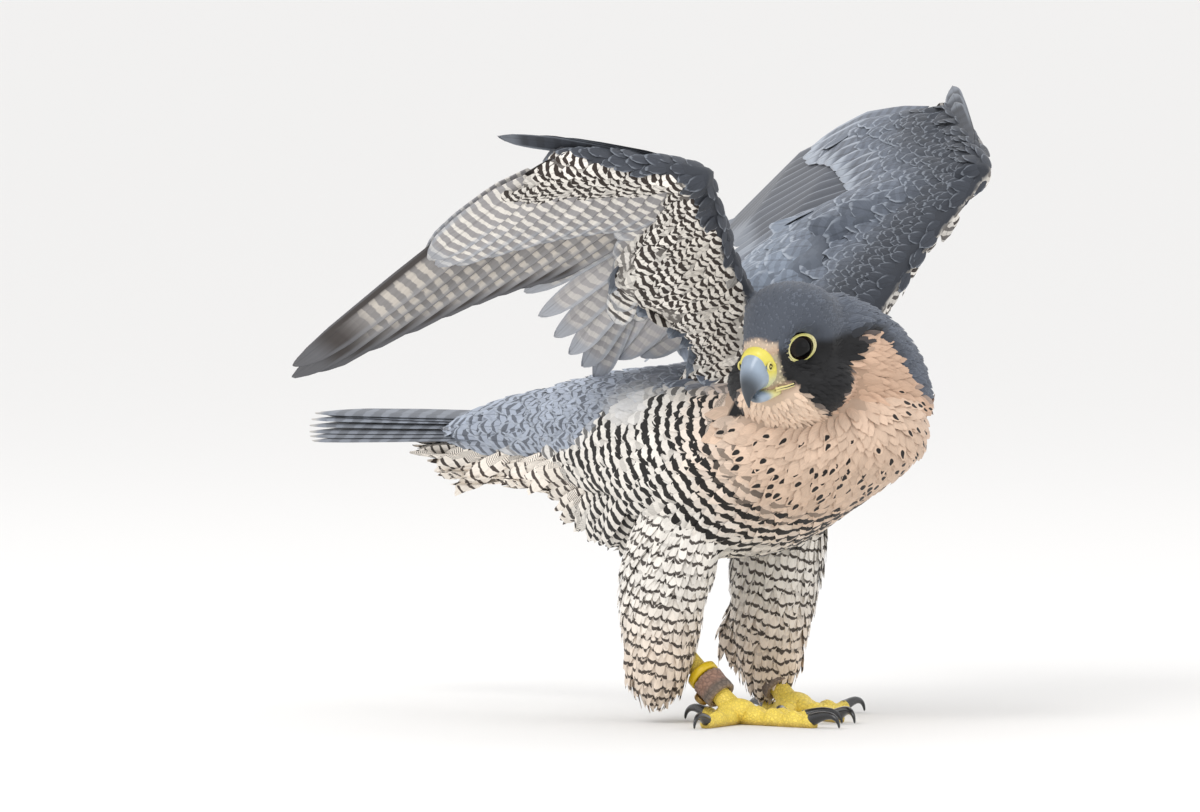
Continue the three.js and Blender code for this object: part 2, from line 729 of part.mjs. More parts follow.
// The ridge over the arm that the inner flight feathers grow from.
function makeRootRidge(sheet, flights, grow = 0) {
  const radius = 4.5 + grow;
  const roots = flights.filter((vane) => !vane.hand).map((vane) => {
    const far = vane.start.aft + radius;
    return [sheet.toSpace(vane.start.across, far, vaneHeight(vane, far)), radius];
  });
  return tube(roots, 8);
}

function makeWing(name, plan, trunk) {
  const { sheet, flights, vanes } = layWing(plan);
  const bodies = (hand, grow) => vanes
    .filter((vane) => vane.hand === hand)
    .map((vane) => vaneBody(sheet, vane, grow));
  const headSpace = join([makeSkull(gap), makeBrow(-1), makeBrow(1)]);
  const innerBodies = [makeArm(plan), makeRootRidge(sheet, flights), ...bodies(false, 0)];
  const arm = cut(join(innerBodies), [trunk, makeNeck(gap), headSpace]);
  const hand = join([cut(makeHand(plan), bodies(false, gap)), ...bodies(true, 0)]);
  const innerSpace = [makeArm(plan, gap), makeRootRidge(sheet, flights, gap)];
  const thumb = cut(makeAlula(plan), [makeArm(plan, gap), makeHand(plan, gap)]);
  addNode(`wing_${name}_arm`, arm, 0x5a606a, 0.75);
  addNode(`wing_${name}_hand`, cut(hand, innerSpace), 0x4c4b4c, 0.7);
  addNode(`alula_${name}`, thumb, 0x3b3836, 0.6);
}

// Tail

// The tail feathers in pairs from the outer ones in, each pair over the one before.
function layTail() {
  const sheet = makeSheet(tail.root, tail.back, tail.tip.clone().sub(tail.root), tail.camber);
  const fan = [];
  const pairs = tail.feathers / 2;
  for (let i = 0; i < tail.feathers; i++) {
    const side = i % 2 ? -1 : 1;
    const t = (side * (pairs - 0.5 - Math.floor(i / 2))) / (pairs - 0.5);
    const root = tail.root.clone().add(at(tail.rootSpread * t, 0, 0));
    const tip = tail.tip.clone().add(at(tail.tipSpread * t, -tail.cornerShort * t * t, 0));
    const vane = layVane(sheet, {
      root, tip, slope: 0, lead: side * -tail.lead, trail: side * -tail.trail, shape: longVane,
    });
    if (i === 0) vane.height = tail.lowest;
    fan.push(stackVane(vane, fan));
  }
  return fan.map((vane) => vaneBody(sheet, vane));
}

// A row of broad soft vanes side by side, from root to tip at the middle of the body and moved
// sideways by equal steps. Those at the sides are shorter.
function makeApron({ count, root, tip, rootSpread, tipSpread, half, back, thick }) {
  const bodies = [];
  for (let i = 0; i < count; i++) {
    const t = count > 1 ? (2 * i) / (count - 1) - 1 : 0;
    const short = 1 - 0.16 * t * t;
    const start = root.clone().add(at(rootSpread * t, 0, back.z * -2.2 * t * t));
    const end = root.clone().lerp(tip, short).add(at(tipSpread * t, 0, back.z * -2.6 * t * t));
    const lean = back.clone().add(at(0.5 * t, 0, 0)).normalize();
    bodies.push(makeVane({
      root: start, tip: end, back: lean, side: 1, lead: half, trail: half, thick,
      bow: 0.05, shape: shortVane, roll: 0.2,
    }));
  }
  return bodies;
}

function makeTailBase() {
  const start = trunkStations[trunkStations.length - 1][0] + gap;
  const stations = [
    [start, 131, 22, 22, 23],
    [start + 18, 131, 20, 20, 22],
    [start + 36, 131, 19, 14, 18],
    [start + 52, 131, 18, 6, 12],
    [start + 62, 131, 12, 2, 5],
  ];
  return loft(stations.map(([y, z, wide, above, below]) => {
    const points = [];
    for (let i = 0; i < trunkSides; i++) {
      const angle = (2 * Math.PI * i) / trunkSides;
      const high = Math.sin(angle) * (Math.sin(angle) > 0 ? above : below);
      points.push(at(Math.cos(angle) * wide, y, z + high));
    }
    return points;
  }));
}

function makeTail() {
  const front = trunkStations[trunkStations.length - 1][0] + gap;
  const block = new THREE.BoxGeometry(200, 100, 200);
  const ahead = fromGeometry(block, new THREE.Matrix4().makeTranslation(0, front - 50, 131));
  const coverts = tailAprons.flatMap((apron) => makeApron(apron));
  addNode('tail', cut(join([makeTailBase(), ...layTail(), ...coverts]), [ahead]), 0x5b626d, 0.7);
}

// Legs

function legAxis(leg) {
  const base = leg.foot.clone().add(at(0, 3, 7));
  return { base, up: leg.ankle.clone().sub(base).normalize() };
}

function makeTarsus(leg, grow = 0) {
  const { base, up } = legAxis(leg);
  const long = base.distanceTo(leg.ankle);
  const start = base.clone().addScaledVector(up, -grow);
  const stations = [[0, 5.2], [6, 4.6], [20, tarsusRadius], [long - 8, 4.6], [long + 2 * grow, 5.4]];
  return tube(stations.map(([d, radius]) => [start.clone().addScaledVector(up, d), radius + grow]), 12);
}

// A ring of broad locks that hang from the feathered thigh.
function makeLocks(leg, { count, turn, top, bottom, wide, deep, tipWide, tipDeep, half, back }) {
  const bodies = [];
  for (let i = 0; i < count; i++) {
    const angle = (2 * Math.PI * (i + turn)) / count;
    const out = at(Math.cos(angle), Math.sin(angle), 0);
    const middle = at(leg.thigh.x, leg.thigh.y + back, 0);
    const low = bottom + 3 * ((i * 7) % 3) - 2.5 * out.y;
    const root = middle.clone().add(at(out.x * wide, out.y * deep, top));
    const tip = middle.clone().add(at(out.x * tipWide, out.y * tipDeep + 2, low));
    bodies.push(makeVane({
      root, tip, back: out, side: 1, lead: half, trail: half, thick: 1.5,
      bow: 0.06, shape: shortVane, roll: 0.24,
    }));
  }
  return bodies;
}

function makeThigh(leg, name, trunk) {
  const body = loft(thighStations.map(([z, inward, back, wide, deep]) => {
    const middle = at(leg.thigh.x - leg.side * inward, leg.thigh.y + back, z);
    return ring(middle, at(wide, 0, 0), at(0, deep, 0), 14);
  }));
  const locks = thighLocks.flatMap((row) => makeLocks(leg, row));
  const room = [trunk, makeTarsus(leg, gap), makeCuffSpace(leg)];
  addNode(`thigh_${name}`, cut(join([body, ...locks]), room), 0xcfc6b8, 0.95);
}

function toeDirection(leg, toe) {
  const angle = THREE.MathUtils.degToRad((toe.turn ?? leg.outerTurn) + leg.toeIn);
  return at(-leg.side * Math.sin(angle), -Math.cos(angle), 0);
}

function makeFoot(leg, name) {
  const lowest = 0.7;
  const pad = new THREE.SphereGeometry(1, 9, 5);
  pad.scale(8.5, 9.5, 6.4);
  const bodies = [fromGeometry(pad, new THREE.Matrix4().makeTranslation(leg.foot.x, leg.foot.y, 5.6))];
  const claws = [];
  const block = new THREE.BoxGeometry(300, 300, 40);
  const ground = fromGeometry(block, new THREE.Matrix4().makeTranslation(0, 0, -20));
  for (const [which, toe] of Object.entries(toes)) {
    const way = toeDirection(leg, toe);
    const swells = which === 'hind' ? 3 : 5;
    const stations = [];
    for (let i = 0; i <= swells; i++) {
      const t = i / swells;
      const radius = THREE.MathUtils.lerp(toe.thick, toe.thin, t) * (i % 2 ? 1 : 0.86);
      const reach = THREE.MathUtils.lerp(3, toe.length, t);
      stations.push([leg.foot.clone().addScaledVector(way, reach).add(at(0, 0, radius - lowest)), radius]);
    }
    bodies.push(tube(stations, 6));
    claws.push(makeClaw(leg, toe, gap));
    addNode(`claw_${name}_${which}`, cut(makeClaw(leg, toe), [ground]), 0x24262a, 0.3);
  }
  addNode(`foot_${name}`, cut(join(bodies), [ground, makeTarsus(leg, gap), ...claws]), 0xe9cc3f, 0.55);
}

// A claw arches up from the end of its toe and comes down to the floor at its point.
function makeClaw(leg, toe, grow = 0) {
  const way = toeDirection(leg, toe);
  const start = leg.foot.clone().addScaledVector(way, toe.length - toe.thin * 0.5 - grow);
  const radius = toe.thin * 0.78;
  const base = radius + 0.6;
  const steps = 4;
  const stations = [];
  for (let i = 0; i <= steps; i++) {
    const t = i / steps;
    const reach = toe.claw * 0.92 * Math.sin((t * Math.PI) / 2);
    const high = base + 3.2 * Math.sin(Math.PI * t) - (base - clawTip.high) * t * t;
    const thick = THREE.MathUtils.lerp(radius, clawTip.radius, t ** 0.8) + grow;
    stations.push([start.clone().addScaledVector(way, reach).setZ(high), thick]);
  }
  return tube(stations, 6);
}

// The room that the band and ring take round the tarsus.
function makeCuffSpace(leg) {
  const { base, up } = legAxis(leg);
  const long = cuff.length + legRing.length + 3 * gap;
  const radius = cuff.outer + 2 * gap;
  const across = at(1, 0, 0).addScaledVector(up, -up.x).normalize();
  const middle = base.clone().addScaledVector(up, cuff.start - gap + long / 2);
  const matrix = frameMatrix(middle, across, up, new THREE.Vector3().crossVectors(across, up));
  return fromGeometry(new THREE.CylinderGeometry(radius, radius, long, 18), matrix);
}

// A band round the tarsus, with square edges.
function makeBand(leg, from, long, inner, outer) {
  const { base, up } = legAxis(leg);
  const profile = [[inner, 0], [outer, 0], [outer, long], [inner, long], [inner, 0]];
  const band = new THREE.LatheGeometry(profile.map(([x, y]) => new THREE.Vector2(x, y)), 16);
  const across = at(1, 0, 0).addScaledVector(up, -up.x).normalize();
  const start = base.clone().addScaledVector(up, from);
  return fromGeometry(band, frameMatrix(start, across, up, new THREE.Vector3().crossVectors(across, up)));
}

function makeJewellery(leg, name) {
  addNode(`anklet_${name}`, makeBand(leg, cuff.start, cuff.length, cuff.inner, cuff.outer), 0x6b5648, 0.85);
  if (name === 'right') {
    const { length, inner, outer } = legRing;
    const band = makeBand(leg, cuff.start + cuff.length + gap, length, inner, outer);
    addNode('leg_ring_right', band, 0xd8b62a, 0.5);
  }
  const { base, up } = legAxis(leg);
  const outward = at(0, 0.86, -0.5).addScaledVector(up, 0.5 * up.z - 0.86 * up.y).normalize();
  const { inner, outer, thick, high } = eyelet;
  const profile = [[inner, 0], [outer, 0], [outer, thick], [inner, thick], [inner, 0]];
  const brass = new THREE.LatheGeometry(profile.map(([x, y]) => new THREE.Vector2(x, y)), 12);
  const middle = base.clone().addScaledVector(up, cuff.start + high);
  middle.addScaledVector(outward, cuff.outer + gap);
  const across = at(1, 0, 0);
  const matrix = frameMatrix(middle, across, outward, new THREE.Vector3().crossVectors(across, outward));
  addNode(`eyelet_${name}`, fromGeometry(brass, matrix), 0xb08d4a, 0.35, 0.9);
}

// The whole bird

const trunkGrown = makeTrunk(gap);
addNode('torso', join([makeTrunk(), ...bellyAprons.flatMap((apron) => makeApron(apron))]), 0xd8d2c8, 0.95);
addNode('neck', cut(makeNeck(), [trunkGrown, makeSkull(gap)]), 0xd9c3a8, 0.95);

const skull = cut(join([makeSkull(), makeBrow(1), makeBrow(-1)]), [makeSocket(1), makeSocket(-1)]);
const eyeSpaces = [makeEye(1, 2 * gap, 10), makeEye(-1, 2 * gap, 10)];
const headCuts = [...eyeSpaces, makeGapeLine(1), makeGapeLine(-1), frontBlock(faceEnd), trunkGrown];
addNode('head', cut(join([skull, makeLids(1), makeLids(-1)]), headCuts), 0x2b2d33, 0.9);
addNode('eye_left', makeEye(1), 0x120c08, 0.08);
addNode('eye_right', makeEye(-1), 0x120c08, 0.08);

const upperBill = makeBillBody(upperBillStations);
addNode('cere', cut(upperBill, [frontBlock(cereEnd), makeNostril(1), makeNostril(-1)]), 0xe4d24a, 0.5);
addNode('bill_upper', upperBill.intersect(frontBlock(cereEnd + gap)), 0x8fa3b5, 0.35);
addNode('bill_lower', makeBillBody(lowerBillStations), 0x8fa3b5, 0.35);

for (const [name, plan] of Object.entries(wingPlans)) makeWing(name, plan, trunkGrown);
makeTail();

for (const [name, leg] of Object.entries(legs)) {
  makeThigh(leg, name, trunkGrown);
  addNode(`tarsus_${name}`, makeTarsus(leg), 0xe0c23c, 0.55);
  makeFoot(leg, name);
  makeJewellery(leg, name);
}

const box = new THREE.Box3().setFromObject(group);
const middle = box.getCenter(new THREE.Vector3());
group.position.set(-middle.x, -middle.y, -box.min.z);

export default group;
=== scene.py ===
import itertools
import math

import bpy
import numpy as np
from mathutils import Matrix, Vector
from mathutils.bvhtree import BVHTree


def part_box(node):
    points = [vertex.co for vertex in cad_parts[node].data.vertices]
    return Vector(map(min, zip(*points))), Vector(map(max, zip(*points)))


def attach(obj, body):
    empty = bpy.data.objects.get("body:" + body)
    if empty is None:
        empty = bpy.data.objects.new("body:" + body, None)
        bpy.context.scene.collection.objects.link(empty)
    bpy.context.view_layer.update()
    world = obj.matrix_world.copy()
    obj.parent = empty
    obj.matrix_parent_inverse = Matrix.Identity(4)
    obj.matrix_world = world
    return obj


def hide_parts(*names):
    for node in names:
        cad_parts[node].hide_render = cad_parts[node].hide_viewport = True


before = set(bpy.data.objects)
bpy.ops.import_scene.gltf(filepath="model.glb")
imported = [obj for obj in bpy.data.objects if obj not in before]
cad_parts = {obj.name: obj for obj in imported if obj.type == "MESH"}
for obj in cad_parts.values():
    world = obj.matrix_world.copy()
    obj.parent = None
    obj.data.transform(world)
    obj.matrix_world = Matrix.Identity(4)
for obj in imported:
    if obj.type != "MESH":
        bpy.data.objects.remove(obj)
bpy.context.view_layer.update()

# Peregrine falcon. Sizes are in millimetres in the bird's own frame: it faces -Y with its left side
# at +X and its soles on Z = 0. toScene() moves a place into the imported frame, in metres.


def vec(*values):
    return np.array(values, dtype=float)


def unit(values):
    values = np.asarray(values, dtype=float)
    return values / np.maximum(np.linalg.norm(values, axis=-1, keepdims=True), 1e-9)


def mix(a, b, t):
    return a + (b - a) * t


def smooth(low, high, value):
    t = np.clip((value - low) / (high - low), 0, 1)
    return t * t * (3 - 2 * t)


def wayAt(lies, t):
    # The lie at a share of the way along a row of them.
    place = t * (len(lies) - 1)
    i = min(int(place), len(lies) - 2)
    return unit(mix(vec(*lies[i]), vec(*lies[i + 1]), place - i))


headSizes = {
    "centre": vec(-42.5, -56, 183.8),
    "forward": unit(vec(-0.94, -0.03, -0.34)),
    "left": unit(vec(0.03, -1, 0)),
}
headSizes["up"] = unit(np.cross(headSizes["forward"], headSizes["left"]))
eyeSizes = {"ahead": 11.5, "high": -3, "out": 16.8, "radius": 7.6, "disc": 5.9, "turn": 0.42}


def headPoint(ahead, out, high):
    ahead, out, high = (np.asarray(value, dtype=float)[..., None] for value in (ahead, out, high))
    return (headSizes["centre"] + headSizes["forward"] * ahead + headSizes["left"] * out
            + headSizes["up"] * high)


def eyeFrame(side):
    look = unit(headSizes["left"] * side + headSizes["forward"] * eyeSizes["turn"])
    high = unit(headSizes["up"] - look * np.dot(headSizes["up"], look))
    front = headPoint(eyeSizes["ahead"], side * eyeSizes["out"], eyeSizes["high"])
    return look, high, np.cross(high, look), front - look * eyeSizes["radius"]


eyeBox = np.array(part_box("eye_left")) * 1000
birdShift = eyeBox.mean(axis=0) - eyeFrame(1)[3]


def toScene(points):
    return (np.asarray(points, dtype=float) + birdShift) * 0.001


print("frame: bird shift in mm", np.round(birdShift, 2))


# Colours and materials


def srgb(code):
    parts = [int(code[i:i + 2], 16) / 255 for i in (1, 3, 5)]
    return np.array([p / 12.92 if p <= 0.04045 else ((p + 0.055) / 1.055) ** 2.4 for p in parts])


class Surface:
    def __init__(self, name):
        self.material = bpy.data.materials.new(name)
        self.material.use_nodes = True
        self.tree = self.material.node_tree
        self.tree.nodes.clear()
        self.shader = self.add("BsdfPrincipled")
        self.add("OutputMaterial", {0: self.shader})

    def add(self, kind, links=None, **settings):
        # Adds a node with its settings and links. A node given as a link stands for its first output.
        node = self.tree.nodes.new(f"ShaderNode{kind}")
        for name, value in settings.items():
            setattr(node, name, value)
        for name, source in (links or {}).items():
            if isinstance(source, (int, float, tuple)):
                node.inputs[name].default_value = source
            else:
                self.tree.links.new(getattr(source, "outputs", [source])[0], node.inputs[name])
        return node

    def done(self, colour, shade, height, strength, distance, settings):
        # Ends a material: its colour darkened by the shade, its relief and the shader's fixed values.
        grey = self.add("CombineColor", {0: shade, 1: shade, 2: shade})
        shaded = self.add("Mix", {0: 1.0, 6: colour, 7: grey}, data_type="RGBA", blend_type="MULTIPLY")
        relief = self.add("Bump", {"Height": height, "Strength": strength, "Distance": distance})
        self.tree.links.new(shaded.outputs[2], self.shader.inputs["Base Color"])
        self.tree.links.new(relief.outputs[0], self.shader.inputs["Normal"])
        for name, value in settings.items():
            self.shader.inputs[name].default_value = value
        return self.material


# Keratin feathers: matt, with a faint sheen at grazing light. Each carries its ground colour (tone) and the
# colour of its marks (ink), its place on the vane, and how its bars, spot, fringe and shaft show. Lengths
# here are shares of the vane, and each pair is where something starts and where it is full.
featherLook = {
    "wander": 260.0, "wobble": 0.5, "spotAt": 0.78, "spotLong": 0.17, "spotWide": 0.42,
    "spotEdge": (1.15, 0.7), "tipRim": (0.85, 0.93), "sideRim": (0.7, 0.88), "sideReach": (0.3, 0.7),
    "fringe": (0.4, 0.44, 0.5, 1), "fringeShare": 0.75, "shaft": (0.1, 0.02),
    "shaftTone": (0.02, 0.02, 0.022, 1), "shaftShare": 0.7, "sweep": -0.55,
    "barbs": (16.0, 1.2, 40.0), "contrast": 0.48, "darkest": 0.66,
    "chance": 0.35, "relief": 0.0004,
    "sheen": {"Specular IOR Level": 0.28, "Sheen Weight": 0.12, "Sheen Roughness": 0.5},
}


def featherMaterial(name, roughness, barbStrength, softness):
    surface, look = Surface(name), featherLook
    add, smoothly, colours = surface.add, {"interpolation_type": "SMOOTHSTEP"}, {"data_type": "RGBA"}
    tone, dark = (add("Attribute", attribute_name=key) for key in ("tone", "ink"))
    (across, reach, chance), bands, marks = [
        add("SeparateXYZ", {0: add("Attribute", attribute_name=key).outputs["Vector"]}).outputs
        for key in ("place", "bands", "marks")]
    side = add("Math", {0: across}, operation="ABSOLUTE")

    # Bars: a wave along the vane with a slightly wandering edge.
    coords = add("TexCoord").outputs["Object"]
    wander = add("TexNoise", {"Vector": coords, "Scale": look["wander"], "Detail": 2.0})
    wobble = add("Math", {0: wander, 1: look["wobble"], 2: -look["wobble"] / 2}, operation="MULTIPLY_ADD")
    phase = add("Math", {0: bands[1], 1: wobble}, operation="ADD")
    angle = add("Math", {0: phase, 1: 2 * math.pi}, operation="MULTIPLY")
    wave = add("Math", {0: angle}, operation="SINE")
    level = add("Math", {0: bands[2], 1: -2.0, 2: 1.0}, operation="MULTIPLY_ADD")
    over = add("Math", {0: wave, 1: level}, operation="SUBTRACT")
    inBar = add("MapRange", {0: over, 1: -softness, 2: softness}, **smoothly)
    bar = add("Math", {0: inBar, 1: bands[0]}, operation="MULTIPLY")

    # A drop near the tip, and the pale fringe round it.
    past = add("Math", {0: reach, 1: look["spotAt"]}, operation="SUBTRACT")
    lengths = add("Math", {0: past, 1: look["spotLong"]}, operation="DIVIDE")
    widths = add("Math", {0: across, 1: look["spotWide"]}, operation="DIVIDE")
    lengths, widths = (add("Math", {0: part, 1: part}, operation="MULTIPLY") for part in (lengths, widths))
    far = add("Math", {0: lengths, 1: widths}, operation="ADD")
    inSpot = add("MapRange", {0: far, 1: look["spotEdge"][0], 2: look["spotEdge"][1]}, **smoothly)
    spot = add("Math", {0: inSpot, 1: marks[0]}, operation="MULTIPLY")
    tipRim, sideRim, sideReach = (
        add("MapRange", {0: place, 1: look[key][0], 2: look[key][1]}, **smoothly)
        for place, key in ((reach, "tipRim"), (side, "sideRim"), (reach, "sideReach")))
    sideRim = add("Math", {0: sideRim, 1: sideReach}, operation="MULTIPLY")
    rim = add("Math", {0: tipRim, 1: sideRim}, operation="MAXIMUM")
    fringe = add("Math", {0: rim, 1: marks[1]}, operation="MULTIPLY")

    # Barbs run outwards and towards the tip.
    lengthways = add("Math", {0: side, 1: look["sweep"], 2: reach}, operation="MULTIPLY_ADD")
    strand = {i: add("Math", {0: value, 1: look["barbs"][i]}, operation="MULTIPLY")
              for i, value in enumerate((lengthways, across, chance))}
    barbs = add("TexNoise", {"Vector": add("CombineXYZ", strand), "Scale": 1.0, "Detail": 3.0})

    marked = add("Math", {0: bar, 1: spot}, operation="MAXIMUM")
    colour = add("Mix", {0: marked, 6: tone, 7: dark}, **colours).outputs[2]
    paler = add("Mix", {0: look["fringeShare"], 6: tone, 7: look["fringe"]}, **colours).outputs[2]
    colour = add("Mix", {0: fringe, 6: colour, 7: paler}, **colours).outputs[2]
    shaft = add("MapRange", {0: side, 1: look["shaft"][0], 2: look["shaft"][1]}, **smoothly)
    for share in (marks[2], look["shaftShare"]):
        shaft = add("Math", {0: shaft, 1: share}, operation="MULTIPLY")
    colour = add("Mix", {0: shaft, 6: colour, 7: look["shaftTone"]}, **colours).outputs[2]
    vary = add("Math", {0: chance, 1: look["chance"]}, operation="MULTIPLY")
    vary = add("Math", {0: barbs, 1: vary}, operation="ADD")
    shade = add("Math", {0: vary, 1: look["contrast"], 2: look["darkest"]}, operation="MULTIPLY_ADD")
    return surface.done(colour, shade, barbs, barbStrength, look["relief"],
                        {"Roughness": roughness, **look["sheen"]})


contourKeratin = featherMaterial("contourFeatherKeratin", 0.66, 0.35, 0.16)
flightKeratin = featherMaterial("flightFeatherKeratin", 0.5, 0.22, 0.3)


# Meshes


def placeObject(name, data):
    item = bpy.data.objects.new(name, data)
    bpy.context.collection.objects.link(item)
    return item


def meshFromArrays(name, points, faces, attributes=None, uv=None, material=None):
    mesh = bpy.data.meshes.new(name)
    faces = np.asarray(faces, dtype=np.int32)
    count, sides = faces.shape
    mesh.vertices.add(len(points))
    mesh.vertices.foreach_set("co", toScene(points).astype(np.float32).ravel())
    mesh.loops.add(count * sides)
    mesh.loops.foreach_set("vertex_index", faces.ravel())
    mesh.polygons.add(count)
    mesh.polygons.foreach_set("loop_start", np.arange(0, count * sides, sides, dtype=np.int32))
    mesh.update(calc_edges=True)
    mesh.polygons.foreach_set("use_smooth", np.full(count, True))
    for key, values in (attributes or {}).items():
        kind, field = "FLOAT_VECTOR", "vector"
        if key in ("tone", "ink"):
            kind, field = "FLOAT_COLOR", "color"
            values = np.concatenate([values, np.ones((len(values), 1))], axis=1)
        layer = mesh.attributes.new(key, kind, "POINT")
        layer.data.foreach_set(field, np.asarray(values, dtype=np.float32).ravel())
    if uv is not None:
        layer = mesh.uv_layers.new(name="OFBake")
        layer.data.foreach_set("uv", np.asarray(uv, dtype=np.float32).ravel())
    mesh.validate()
    if material:
        mesh.materials.append(material)
    return placeObject(name, mesh)


def ringPoints(centre, wide, tall, sides, square=1.0):
    angles = np.linspace(0, 2 * math.pi, sides, endpoint=False)
    c, s = np.cos(angles), np.sin(angles)
    c, s = np.sign(c) * np.abs(c) ** square, np.sign(s) * np.abs(s) ** square
    return centre + c[:, None] * wide + s[:, None] * tall


def loftArrays(rings):
    rings = np.array(rings)
    steps, sides, _ = rings.shape
    points = np.concatenate([rings.reshape(-1, 3), [rings[0].mean(axis=0)], [rings[-1].mean(axis=0)]])
    faces = []
    for i in range(steps - 1):
        for j in range(sides):
            k = (j + 1) % sides
            faces.append((i * sides + j, i * sides + k, (i + 1) * sides + k, (i + 1) * sides + j))
    caps = []
    for j in range(sides):
        k = (j + 1) % sides
        caps.append((steps * sides, k, j))
        caps.append((steps * sides + 1, (steps - 1) * sides + j, (steps - 1) * sides + k))
    triangles = caps + [(a, b, c) for a, b, c, d in faces] + [(a, c, d) for a, b, c, d in faces]
    triangles = np.array(triangles)
    a, b, c = (points[triangles[:, i]] for i in range(3))
    if np.einsum("ij,ij->i", a, np.cross(b, c)).sum() < 0:
        triangles = triangles[:, ::-1]
    return points, triangles


def denser(rows, times):
    rows = np.array(rows, dtype=float)
    places = np.arange(len(rows))
    fine = np.linspace(0, len(rows) - 1, (len(rows) - 1) * times + 1)
    slopes = np.gradient(rows, axis=0)
    i = np.minimum(fine.astype(int), len(rows) - 2)
    t = (fine - places[i])[:, None]
    h00, h10 = 2 * t ** 3 - 3 * t ** 2 + 1, t ** 3 - 2 * t ** 2 + t
    h01, h11 = -2 * t ** 3 + 3 * t ** 2, t ** 3 - t ** 2
    return h00 * rows[i] + h10 * slopes[i] + h01 * rows[i + 1] + h11 * slopes[i + 1]


def ovalArrays(centre, run, wide, tall, gap, count, sides):
    # An egg along run, drawn from the angle gap at one end to the same at the other.
    return loftArrays([
        ringPoints(centre + run * math.cos(angle), wide * math.sin(angle), tall * math.sin(angle), sides)
        for angle in np.linspace(gap, math.pi - gap, count)])


def joinArrays(shapes):
    points, faces, start = [], [], 0
    for shapePoints, shapeFaces in shapes:
        points.append(shapePoints)
        faces.append(np.asarray(shapeFaces) + start)
        start += len(shapePoints)
    return np.concatenate(points), np.concatenate(faces)


def finish(piece, slot, *nodes):
    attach(piece, "root")
    if nodes:
        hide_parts(*nodes)


# Wing joints, the way the back of each wing faces, and the lie of its feathers from the outermost in. Longer
# is what each flight feather has beyond the length of its solid.
wingPlans = {
    "right": {
        "side": -1, "rootFront": vec(-16, -50, 160), "rootBack": vec(-20, 26, 150),
        "shoulder": vec(-25, -25, 170), "elbow": vec(-70, 18, 208), "wrist": vec(-95, -51, 256),
        "finger": vec(-125, 18, 268), "alulaTip": vec(-133, 43, 276),
        "back": unit(vec(0.694, 0.18, 0.697)), "camber": 0.0001, "lowest": -5, "slopes": (0, 0, 0.1),
        "primaryLie": [(0.2, 0.88, -0.42), (0.18, 0.89, -0.42), (0.14, 0.9, -0.41)],
        "secondaryLie": [(0.12, 0.9, -0.41), (0.34, 0.86, -0.37), (0.45, 0.79, -0.42), (0.57, 0.7, -0.4)],
        "tertialLie": [(0.5, 0.78, -0.34), (0.34, 0.9, -0.24)],
        "longer": None,
    },
    "left": {
        "side": 1, "rootFront": vec(16, -50, 160), "rootBack": vec(20, 26, 152),
        "shoulder": vec(25, -25, 170), "elbow": vec(72, 14, 212), "wrist": vec(95, -56, 254),
        "finger": vec(136, 0, 283), "alulaTip": vec(146, 9, 294),
        "back": unit(vec(-0.718, 0.068, 0.692)), "camber": 0.0016, "lowest": -6, "slopes": (0, 0, 0),
        "primaryLie": [(0.185, 0.96, -0.145), (0.12, 0.975, -0.18), (0.055, 0.985, -0.24)],
        "secondaryLie": [(0.055, 0.985, -0.24), (0.03, 0.98, -0.25), (0, 0.97, -0.27), (-0.03, 0.96, -0.29)],
        "tertialLie": [(-0.05, 0.95, -0.3), (-0.08, 0.95, -0.3)],
        "longer": {"primary": [0, 0, 0, 0, 5, 11, 18, 25, 30, 34], "secondary": [20, 20, 20, 20, 21, 22],
                   "tertial": [20, 16, 12]},
    },
}

# How the flight feathers lie: on a sheet, as in the solids, each over its outer neighbour

# Lengths from the outermost in, where the roots start and end between two joints, and how wide each vane is
# ahead of its shaft and behind it. Step is how far a vane stands off the one it lies on.
wingFeathers = {
    "primary": {"lengths": [232, 245, 238, 216, 196, 178, 164, 152, 143, 137], "roots": (0.04, 0.92),
                "wide": (5.0, 11.0)},
    "secondary": {"lengths": [144, 140, 136, 130, 123, 116], "roots": (0.06, 0.98), "wide": (4.5, 9.0)},
    "tertial": {"lengths": [102, 92, 82], "roots": (0.16, 0.62), "wide": (4.5, 9.0)},
    "step": 0.84, "thick": 0.3, "apart": 0.6, "sample": 2.0,
}
# Outlines of the vanes: share of the length, and share of the width.
longShape = [
    (0, 0.3), (0.06, 0.62), (0.25, 0.95), (0.6, 0.97), (0.84, 0.84), (0.93, 0.62), (0.98, 0.34), (1, 0.12),
]
shortShape = [(0, 0.45), (0.25, 0.92), (0.6, 1), (0.82, 0.86), (0.94, 0.55), (1, 0.18)]
sheetSizes = {"bends": np.array([-60, 0, 60, 120, 180, 260]), "flatAt": 40.0}


class Sheet:
    def __init__(self, origin, up, lie, camber):
        self.origin, self.up, self.camber = origin, up, camber
        self.aft = unit(lie - up * np.dot(lie, up))
        self.across = np.cross(up, self.aft)

    def flatten(self, point):
        offset = point - self.origin
        return float(offset @ self.across), float(offset @ self.aft)

    def toSpace(self, wide, far, high):
        wide, far, high = (np.asarray(value, dtype=float)[..., None] for value in (wide, far, high))
        bends = sheetSizes["bends"]
        sag = np.interp(far, bends, -self.camber * (bends - sheetSizes["flatAt"]) ** 2)
        return self.origin + self.across * wide + self.aft * far + self.up * (high + sag)


